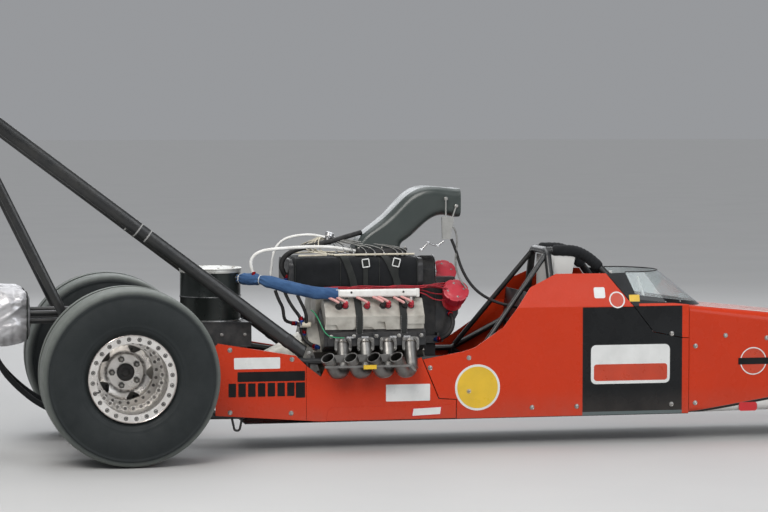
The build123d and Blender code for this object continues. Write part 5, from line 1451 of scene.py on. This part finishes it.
make_packs()
for side, end in SIDES:
    # The dark binding at the front edge is partly a bound edge and partly painted shade for the shadow there.
    binding = []
    for station, grow, thick in ((PACK_FRONT + 1, -13, 5.0), (PACK_REAR + 8, -4, 4.0)):
        ring = [at(station, side * PACK_Y + y, PACK_Z + z - 2) for y, z in pack_outline(64, grow)]
        binding.append((sweep, around(ring), circle(thick)))
    piece(f"pack_binding_and_shade_{end}", "strap_web", binding)
    hardware = []
    for z in (740, 700):
        hardware.append((bolt, (-140, side * PACK_Y, z), (1, 0, 0), 8, 6))
        places = upright([(-230, z), (-205, z)], side * (PACK_Y + 14.6))
        hardware += each(bolt, places, (0, side, 0), 5, 4)
    piece(f"pack_hardware_{end}", "bolt_steel", hardware)

# Rear wing: gurney lips, rivets, ribs in the slot, and edge strips and bolts on the end plates
WING_MAIN = (-690, 1985, 480, -8)
WING_FLAP = (-1150, 2084, 268, -28)
PLATE_EDGE = [(-650, 1830), (-650, 2130), (-1060, 2260), (-1420, 2260), (-1420, 1930), (-1000, 1830)]
PLATE_BOLTS = [
    (-720, 1990), (-820, 1998), (-940, 2016), (-1060, 2034), (-1180, 2094), (-1270, 2142), (-1350, 2186),
]
PLATE_MIDDLE = (-1035, 2040)
END_PLATE_Y = 720
BUTTON = [(0, 11), (1, 11), (1.5, 9), (2.5, 7), (3, 2)]


def wing_point(element, share, up, y):
    """A point on an element's chord, with its height off the chord, in station, y and z."""
    leading, z, chord, pitch = element
    tilt = math.radians(pitch)
    return (leading - share * chord * math.cos(tilt) + up * math.sin(tilt), y,
            z - share * chord * math.sin(tilt) + up * math.cos(tilt))


lips = []
for element, tall in ((WING_MAIN, 8), (WING_FLAP, 16)):
    rows = [(0.985, 2), (0.998, 2), (0.998, tall), (0.985, tall)]
    lips.append((slab, [wing_point(element, share, up, -700) for share, up in rows], (0, 1400, 0)))
piece("wing_lips", "white_wing", lips, bevel=0.8)
rivets = []
for element, share, up in ((WING_MAIN, 0.08, 0.038), (WING_MAIN, 0.9, 0.016), (WING_FLAP, 0.12, 0.04)):
    for y in range(-684, 685, 38):
        rivets.append((dome, wing_point(element, share, up * element[2], y), (0.05, 0, 1), 3.6, 1.6, 10))
piece("wing_rivets", "fitting_alloy", rivets)
ribs = []
for y in range(-480, 481, 240):
    outline = [wing_point(WING_MAIN, 0.9, 8, y), wing_point(WING_MAIN, 0.98, 4, y),
               wing_point(WING_FLAP, 0.14, -12, y), wing_point(WING_FLAP, 0.05, 2, y)]
    ribs.append((slab, outline, (0, 5, 0)))
piece("wing_slot_ribs", "fitting_alloy", ribs, bevel=0.6)
for side, end in SIDES:
    strips = []
    for (x0, z0), (x1, z1) in edges_of(PLATE_EDGE):
        middle = Vector((x0 + x1, z0 + z1)) / 2
        pull = (Vector(PLATE_MIDDLE) - middle).normalized() * 3
        y = side * (END_PLATE_Y - 2)
        strips.append((rod, (x0 + pull.x, y, z0 + pull.y), (x1 + pull.x, y, z1 + pull.y), 4, 10))
    piece(f"wing_plate_edge_{end}", "white_wing", strips)
    bolts = turned(BUTTON, upright(PLATE_BOLTS, side * END_PLATE_Y), (0, side, 0))
    piece(f"wing_plate_bolts_{end}", "bolt_steel", bolts)

# Cockpit: padding in the seat. Pads: name, ends as (station, z), half width, thickness, look
PADS = [
    ("seat_cushion", (2400, 268), (2700, 262), 150, 26, "seat_fabric"),
    ("seat_back", (2350, 320), (2290, 690), 150, 24, "seat_fabric"),
    ("head_pad", (2374, 826), (2386, 996), 132, 22, "head_fabric"),
]
PAD_STEPS = 44
PAD_CHANNELS = (1 / 3, 2 / 3)
PAD_ROUND = [(i / 20 - 1, 1) for i in range(41)] + [(i / 20 - 1, 0) for i in range(39, 0, -1)]
for name, low, high, half, thick, look in PADS:
    start = Vector((low[0], 0, low[1]))
    run = Vector((high[0], 0, high[1])) - start
    normal = Vector((-run.z, 0, run.x)).normalized()
    if (normal.z if abs(run.z) < abs(run.x) else normal.x) < 0:
        normal = -normal
    rings = []
    for k in range(PAD_STEPS + 1):
        share = k / PAD_STEPS
        end = max(0.0, 1 - abs(2 * share - 1) ** 8)
        channel = 1 - 0.55 * max(math.exp(-(((share - c) / 0.018) ** 2)) for c in PAD_CHANNELS)
        width = half * (1 - 0.05 * math.sin(math.pi * share)) * (0.9 + 0.1 * end)
        ring = []
        for across, top in PAD_ROUND:
            wave = 2.0 * noise.noise(Vector((share * 5, across * 2, thick)))
            puff = (thick * channel + wave) * (1 - abs(across) ** 5) * end * top
            ring.append(at(*(start + run * share + normal * puff + Vector((0, across * width, 0)))))
        rings.append(ring)
    piece(name, look, [(skin, rings)], smooth=60)


def ribbon(points, width, thick=2.0):
    """The rings of a flat strap through (station, y, z) points."""
    places = [Vector(point) for point in points]
    rings = []
    for i, place in enumerate(places):
        ahead = (places[min(i + 1, len(places) - 1)] - places[max(i - 1, 0)]).normalized()
        across = ahead.cross(Vector((1, 0, 0.3)))
        across = across.normalized() if across.length > 0.2 else Vector((0, 1, 0))
        if abs(across.y) < 0.5:
            across = Vector((0, 1, 0)) if abs(ahead.y) < 0.8 else Vector((1, 0, 0))
        lift = across.cross(ahead).normalized() * thick / 2
        rings.append(strap_ring(place, across * width / 2, lift))
    return rings


# Harness: shoulder, lap and crotch straps with one buckle, and the shoulder straps' slides
SHOULDER = [
    (2322, 64, 756), (2330, 66, 742), (2338, 68, 690), (2352, 70, 610), (2372, 66, 520), (2410, 52, 430),
    (2470, 34, 372), (2520, 22, 346),
]
webbing = []
slides = []
for side in (-1, 1):
    shoulder = [(x, side * y, z) for x, y, z in SHOULDER]
    lap = [(2424, side * 180, 322), (2450, side * 160, 326), (2490, side * 100, 336), (2524, side * 36, 342)]
    crotch = [(2612, side * 30, 294), (2580, side * 26, 306), (2548, side * 20, 328)]
    webbing += [(skin, ribbon(points, width)) for points, width in ((shoulder, 52), (lap, 50), (crotch, 40))]
    for x, z in ((2347, 612), (2344, 634)):
        slides.append((block, (x, side * 70 - 34, z), (x + 5, side * 70 + 34, z + 4)))
subdivide(piece("harness_webbing", "strap_blue", webbing, smooth=60), 1)
BUCKLE = [(0, 34), (4, 38), (14, 38), (18, 34), (18, 22), (21, 20), (21, 4)]
buckle = [(turn, BUCKLE, (2526, 0, 338), (0.35, 0, 1), 40), (block, (2556, -7, 340), (2578, 7, 346))]
piece("harness_buckle", "fitting_alloy", buckle, bevel=0.8)
piece("harness_slides", "fitting_alloy", slides, bevel=0.5)

# Steering wheel, gauges and switches on the dashboard, and the brake lever's grip
DASH_STATION = 2984
DASH_LOW = 590
DASH_LEAN = Vector((-0.98, 0, 0.21))
LEVER_LEAN = (-0.155, 0, 1)
LEVER_Y = -240


def dash(y, z):
    """A point on the dashboard's leaning face."""
    return (DASH_STATION + (z - DASH_LOW) * 0.197, y, z)


grips = []
for side in (-1, 1):
    for i in range(9):
        place = (2880, side * (127 - i * 0.55), 592 + 12 * i)
        grips.append((turn, hoop(-5, 5, 15.2, 1, 2), place, (0, -side * 0.04, 1), 24))
piece("wheel_grips", "black_rubber", grips, "steering_wheel")
BOSS = [(0, 30), (2, 34), (7, 34), (9, 30), (9, 12), (13, 10), (13, 3)]
piece("wheel_boss", "black_plastic", [(turn, BOSS, (2871.5, 0, 640), (-1, 0, 0), 36)], "steering_wheel")
places = [(2863, -20, 652), (2863, 20, 652), (2863, 0, 618)]
buttons = turned([(0, 7), (4, 7), (6, 5), (6, 1)], places, (-1, 0, 0), 18)
piece("wheel_buttons", "boot_red", buttons, "steering_wheel")
gauges = []
faces = []
for y, z, radius in ((-86, 660, 34), (86, 660, 34), (-168, 664, 24), (168, 664, 24)):
    rim = [(-2, radius), (2, radius + 3), (8, radius + 3), (9, radius), (5, radius - 3), (4, radius - 5)]
    gauges.append((turn, rim, dash(y, z), DASH_LEAN, 40))
    faces.append((turn, [(3.6, radius - 4), (4.2, radius - 6), (4.2, 2)], dash(y, z), DASH_LEAN, 32))
piece("gauge_rims", "fitting_alloy", gauges)
piece("gauge_faces", "vinyl_white", faces)
SWITCH = [(0, 7), (3, 7), (4, 4), (16, 3), (18, 4), (20, 2)]
switches = turned(SWITCH, [dash(y, 700) for y in range(-40, 41, 20)], DASH_LEAN, 16)
piece("dash_switches", "bolt_steel", switches)
knob = []
for i in range(7):
    place = (2613 - 17 * i / 6, LEVER_Y, 500 + 106 * i / 6)
    knob.append((turn, hoop(-6, 6, 17.4, 2, 2.2), place, LEVER_LEAN, 28))
knob.append((turn, [(0, 15), (4, 18), (12, 17), (16, 10), (17, 3)], (2594, LEVER_Y, 618), LEVER_LEAN, 28))
piece("lever_grip", "black_rubber", knob)

# Foam sleeves on the cage bars
BAR_RADIUS = 22
FOAM = 9
CAGE_PAD = [
    (2362, 141, 1040), (2440, 143, 1040), (2492, 147, 1036), (2540, 156, 1014), (2586, 168, 980),
    (2620, 182, 944),
]
for side, end in SIDES:
    line = line_along([(x, side * y, z) for x, y, z in CAGE_PAD], 60)
    rings = []
    for i, (place, across, up) in enumerate(frames(line)):
        share = i / (len(line) - 1)
        edge = min(1.0, min(share, 1 - share) / 0.03)
        radius = BAR_RADIUS + FOAM * math.sqrt(edge) + 0.9 * math.sin(70 * share)
        rings.append(ring_of(place, across, up, [radius] * 28))
    piece(f"cage_pad_{end}", "black_cloth", [(skin, rings)], smooth=70)

# Cage: gussets, weld beads and the board behind the head pad
gussets = []
welds = []
for side in (-1, 1):
    corners = [(2330, side * 158, 1026), (2330, side * 150, 1000), (2368, side * 141, 1036)]
    gussets.append((slab, corners, (0, side * 3, 0)))
    welds.append((bead, (2352, side * 141, 1040), (1, 0, 0), 20.4, 1.8))
    welds.append((bead, (2322, side * 153, 1020), (-0.58, side * 0.19, -0.75), 14.6, 1.8))
piece("cage_gussets", "frame_paint", gussets)
piece("cage_welds", "frame_paint", welds)
board = [(2374, -146, 812), (2374, 146, 812), (2384, 146, 1006), (2384, -146, 1006)]
piece("head_surround", "white_plastic", [(slab, board, (2.5, 0, 0))], bevel=1.0)
bolts = [(dome, (2380 + (z - 824) * 0.05, y, z), (1, 0, 0), 6, 3) for z in (824, 996) for y in (-134, 134)]
piece("surround_bolts", "bolt_steel", bolts)


# Screen: its rear end, corner, front and half width at the foot and at the head
SCREEN_LOW = 714
SCREEN_TALL = 212
SCREEN_FOOT = (2808, 2990, 3260, 319)
SCREEN_HEAD = (2742, 2850, 2990, 252)


def screen_outline(z, lift, count=40):
    """The screen's edge at a height, moved out by lift."""
    share = (z - SCREEN_LOW) / SCREEN_TALL
    rear, corner, front, half = (a + (b - a) * share for a, b in zip(SCREEN_FOOT, SCREEN_HEAD))
    front += lift
    half += lift
    side = [rear + (corner - rear) * i / 8 for i in range(9)]
    curve = arc((corner, -half), (front, 0), (corner, half), count)[1:-1]
    flat = [(x, -half) for x in side] + curve + [(x, half) for x in side[::-1]]
    return [(x, y, z) for x, y in flat]


# A binding strip on the screen's top edge, button screws and two white stays inside it
SCREW_STATIONS_END = 3075
binding = [at(*point) for point in screen_outline(925, -1.5)]
piece("screen_rim", "black_rubber", [(sweep, binding, circle(3.2))])
screws = []
for x, y, z in screen_outline(762, 0.4, 16)[::2]:
    if x < SCREW_STATIONS_END:
        screws.append((dome, (x, y, z), (0.15, math.copysign(1, y), 0.3), 4.5, 2.2, 14))
piece("screen_screws", "bolt_steel", screws)
stays = [(rod, (2858, side * 270, 745), (2812, side * 252, 900), 7, 14) for side in (-1, 1)]
piece("screen_stays", "white_plastic", stays)

# Signs beside the cockpit's opening, on the leaning panels: name, look, outline, lift
DECK_SIGNS = [
    ("deck_disc", "vinyl_white", disc(2678, 778, 44), 0.3),
    ("deck_disc_mid", "vinyl_orange", disc(2678, 778, 37), 0.8),
    ("deck_sign", "vinyl_white", rounded((2552, 788), (2614, 846), 10), 0.3),
    ("deck_label_yellow", "vinyl_yellow", rounded((2748, 768), (2806, 804), 2), 0.3),
]


def leaning(side, station, z, lift):
    """A point on the cockpit's leaning side, in metres."""
    y = PANEL_Y - (z - 745) * 68 / 180
    return at(station, side * (y + lift * 0.935), z + lift * 0.354)


for side, end in SIDES:
    for name, look, outline, lift in DECK_SIGNS:
        rings = [[leaning(side, x, z, height) for x, z in outline] for height in (lift, lift + 0.5)]
        piece(f"{name}_{end}", look, [(skin, rings)])

# Front end: hub caps, bolts, valve stems, moulded tyre ridges, kingpin nuts, axle clamps and rod locknuts
FRONT_STATION = 7110
FRONT_AXLE_Z = 280
FRONT_TRACK = 850
KINGPIN_Y = 360
STEERING_STATION = 6990
FRONT_CAP = [(0, 29), (2, 29), (6, 26), (12, 24), (14, 20), (15, 8), (15, 2)]
KINGPIN_NUT = [(0, 9), (7, 9), (8, 7), (11, 5), (11, 1)]
TREAD_RIDGE = ((-1.1, 1), (-0.9, 0.1), (0.9, 0.1), (1.1, 1))
for side, end in SIDES:
    body = f"front_wheel_{end}"
    outward = (0, side, 0)
    hub = (FRONT_STATION, side * FRONT_TRACK / 2, FRONT_AXLE_Z)
    cap = [(turn, FRONT_CAP, moved(hub, 0, side * 34, 0), outward, 40)]
    piece(f"front_hub_cap_{end}", "fitting_alloy", cap, body)
    bolts = []
    for circle_radius, out, radius, first in ((37, 20, 4, 30), (60, 6.5, 4, 90), (190, 6.5, 3.5, 90)):
        places = all_about(moved(hub, 0, side * out, 0), circle_radius, 6, first)
        bolts += each(bolt, places, outward, radius, 4)
    piece(f"front_wheel_bolts_{end}", "bolt_steel", bolts, body)
    ridges = []
    for radius, out, thick in ((236, 32.0, 1.0), (245, 32.8, 0.8), (258, 31.6, 0.8)):
        ridges += [(bead, moved(hub, 0, out * face, 0), outward, radius, thick, 96) for face in (-1, 1)]
    for out in (-18, -6, 6, 18):
        radius = 268 + 12 * math.sqrt(1 - (out / 28) ** 2)
        section = [(out + a, radius - sink) for a, sink in TREAD_RIDGE]
        ridges.append((turn, section, hub, outward, 96, True))
    piece(f"front_tyre_ridges_{end}", "tyre_rubber", ridges, body)
    foot = about(moved(hub, 0, side * 18, 0), 198, 62)
    tip = about(moved(hub, 0, side * 34, 0), 186, 62)
    piece(f"front_valve_{end}", "black_rubber", [(rod, foot, tip, 3, 10)], body)
    nuts = [
        (turn, KINGPIN_NUT, (FRONT_STATION, side * KINGPIN_Y, 314.6), (0, 0, 1), 6),
        (turn, KINGPIN_NUT, (FRONT_STATION, side * KINGPIN_Y, 245.4), (0, 0, -1), 6),
        (turn, [(0, 8), (5, 8), (6, 5), (6, 1)], (STEERING_STATION, side * KINGPIN_Y, 284), (0, 0, 1), 6),
    ]
    piece(f"kingpin_nuts_{end}", "bolt_steel", nuts, f"knuckle_{end}")
    place = (FRONT_STATION, side * 196, FRONT_AXLE_Z)
    clamp = [(turn, hoop(-14, 14, 26, 1, 3), place, (0, 1, 0), 32)]
    piece(f"axle_clamp_{end}", "black_metal", clamp)
    lock = [(turn, hoop(0, 12, 11, 1, 2), (STEERING_STATION, side * 322, 272), outward, 6)]
    piece(f"rod_locknut_{end}", "bolt_steel", lock, "tie_rod")

# Front wing: rivets, and edge strips on its end plates
FRONT_PLATE = [(7554, 94), (7878, 94), (7878, 138), (7699, 203), (7554, 203)]
FRONT_RIVETS = [(7590, 150), (7700, 140), (7810, 126)]
rivets = [(dome, (7600, 860 * i / 21 - 430, 148.6), (0.05, 0, 1), 3, 1.4, 10) for i in range(22)]
strips = []
for side in (-1, 1):
    rivets += each(dome, upright(FRONT_RIVETS, side * 450), (0, side, 0), 5, 2.5, 14)
    strips += [(rod, *edge, 2.6, 8) for edge in edges_of(upright(FRONT_PLATE, side * 449))]
piece("front_wing_rivets", "fitting_alloy", rivets)
piece("front_wing_edges", "white_wing", strips)

# Bolts of the bellhousing and the two pulleys, the belt's ribs and the pulleys' flanges
CRANK_Z = 400
BLOWER_Z = 926
BELT_REAR = 1649
BELT_WIDTH = 65
BELT_RIBS = 30
ACROSS = (1, 2)
bolts = each(bolt, all_about((985, 0, CRANK_Z), 206, 16, 11.25, ACROSS), (-1, 0, 0), 8, 8)
for z, radius in ((CRANK_Z, 40), (BLOWER_Z, 36)):
    bolts += each(bolt, all_about((1719, 0, z), radius, 8, plane=ACROSS), (1, 0, 0), 6, 7)
piece("bolt_circles", "bolt_steel", bolts)
ribs = []
flanges = []
for z, radius, first in ((CRANK_Z, 100.4, 180), (BLOWER_Z, 86.4, 0)):
    for i in range(BELT_RIBS):
        start = about((BELT_REAR, 0, z), radius, first + 180 * i / BELT_RIBS, ACROSS)
        ribs.append((rod, start, moved(start, BELT_WIDTH, 0, 0), 1.1, 6))
    flanges.append((turn, hoop(0, 4, radius + 5.6, 1, 21), (1720, 0, z), (1, 0, 0), 64))
piece("belt_ribs", "black_rubber", ribs)
piece("pulley_flanges", "fitting_alloy", flanges)

# Scoop: the throttle's rod ends, links and bracket bolts
THROTTLE_EYES = [(1760, -168, 1222), (1760, -168, 1328), (1794, -168, 1222), (1818, -168, 1288)]
THROTTLE_JOINTS = [(1638, -100, 1049), (1677, -104, 1087), (1727, -104, 1070), (1764, -110, 1098)]
THROTTLE_HOLES = [(1748, 1214), (1790, 1214), (1752, 1130), (1776, 1130)]
ends = each(dome, THROTTLE_EYES, (0, -1, 0), 8, 5)
ends += turned(hoop(-4, 4, 10, 1, 2), THROTTLE_EYES, (0, 1, 0), 20)
piece("throttle_rod_ends", "bolt_steel", ends)
links = [(rod, *ends, 4.5, 12) for ends in zip(THROTTLE_JOINTS, THROTTLE_JOINTS[1:])]
links += turned(hoop(-6, 6, 9, 1, 2), THROTTLE_JOINTS[:-1], (0, 1, 0), 20)
piece("throttle_links", "fitting_alloy", links)
bolts = each(bolt, upright(THROTTLE_HOLES, -171), (0, -1, 0), 5, 5)
piece("throttle_bolts", "bolt_steel", bolts)


# Floor, lights and camera
def make_floor():
    bpy.ops.mesh.primitive_plane_add(size=400, location=(0, 0, 0))
    floor = bpy.context.object
    floor.name = "floor"
    tree = Tree("floor")
    tree.colour(tree.patchy(0.8, (0.40, 0.40, 0.40), (0.45, 0.45, 0.445), 3.0))
    tree.set(Roughness=0.75)
    floor.data.materials.append(tree.material)


make_floor()
world = bpy.data.worlds.new("studio")
bpy.context.scene.world = world
world.use_nodes = True
sky = world.node_tree.nodes["Background"]
sky.inputs["Color"].default_value = (0.86, 0.88, 0.92, 1.0)
sky.inputs["Strength"].default_value = 0.36

# Lamps: name, place in metres, aim, size, power in watts, colour
LAMPS = [
    ("key", (-6.5, -8.0, 8.5), (-2.5, 0, 0.6), 6.0, 980, (1.0, 0.97, 0.93)),
    ("fill", (4.0, -9.0, 5.0), (0.0, 0, 0.5), 7.0, 440, (0.93, 0.96, 1.0)),
    ("top", (-1.5, 1.5, 9.0), (-1.5, 0, 0.5), 8.0, 180, (1.0, 1.0, 1.0)),
    ("back", (-1.0, 9.0, 6.0), (-1.0, 0, 0.6), 7.0, 300, (0.95, 0.97, 1.0)),
]
for name, place, aim, size, power, colour in LAMPS:
    lamp = new_object(name, bpy.data.lights.new(name, "AREA"))
    lamp.data.shape = "SQUARE"
    lamp.data.size = size
    lamp.data.energy = power
    lamp.data.color = colour
    lamp.location = place
    lamp.rotation_euler = (Vector(aim) - Vector(place)).to_track_quat("-Z", "Y").to_euler()
    lamp.visible_camera = False

overcast = new_object("overcast", bpy.data.lights.new("overcast", "SUN"))
overcast.data.energy = 1.15
overcast.data.angle = math.radians(50)
overcast.data.color = (0.97, 0.985, 1.0)
overcast.rotation_euler = (math.radians(-14), math.radians(-10), 0)

# The photograph's camera: a long lens on the car's right, turned a little forward and down
CAMERA_PLACE = (-4.511, -13.292, 1.754)
CAMERA_TURN = 11.627
CAMERA_DIP = 3.127
CAMERA_LENS = 117.11
camera = new_object("camera", bpy.data.cameras.new("camera"))
camera.data.lens = CAMERA_LENS
camera.data.sensor_width = 36
camera.data.clip_end = 500
camera.location = CAMERA_PLACE
camera.rotation_euler = (math.radians(90 - CAMERA_DIP), 0, math.radians(-CAMERA_TURN))
bpy.context.scene.camera = camera
bpy.context.scene.view_settings.view_transform = "Standard"

bpy.context.view_layer.update()
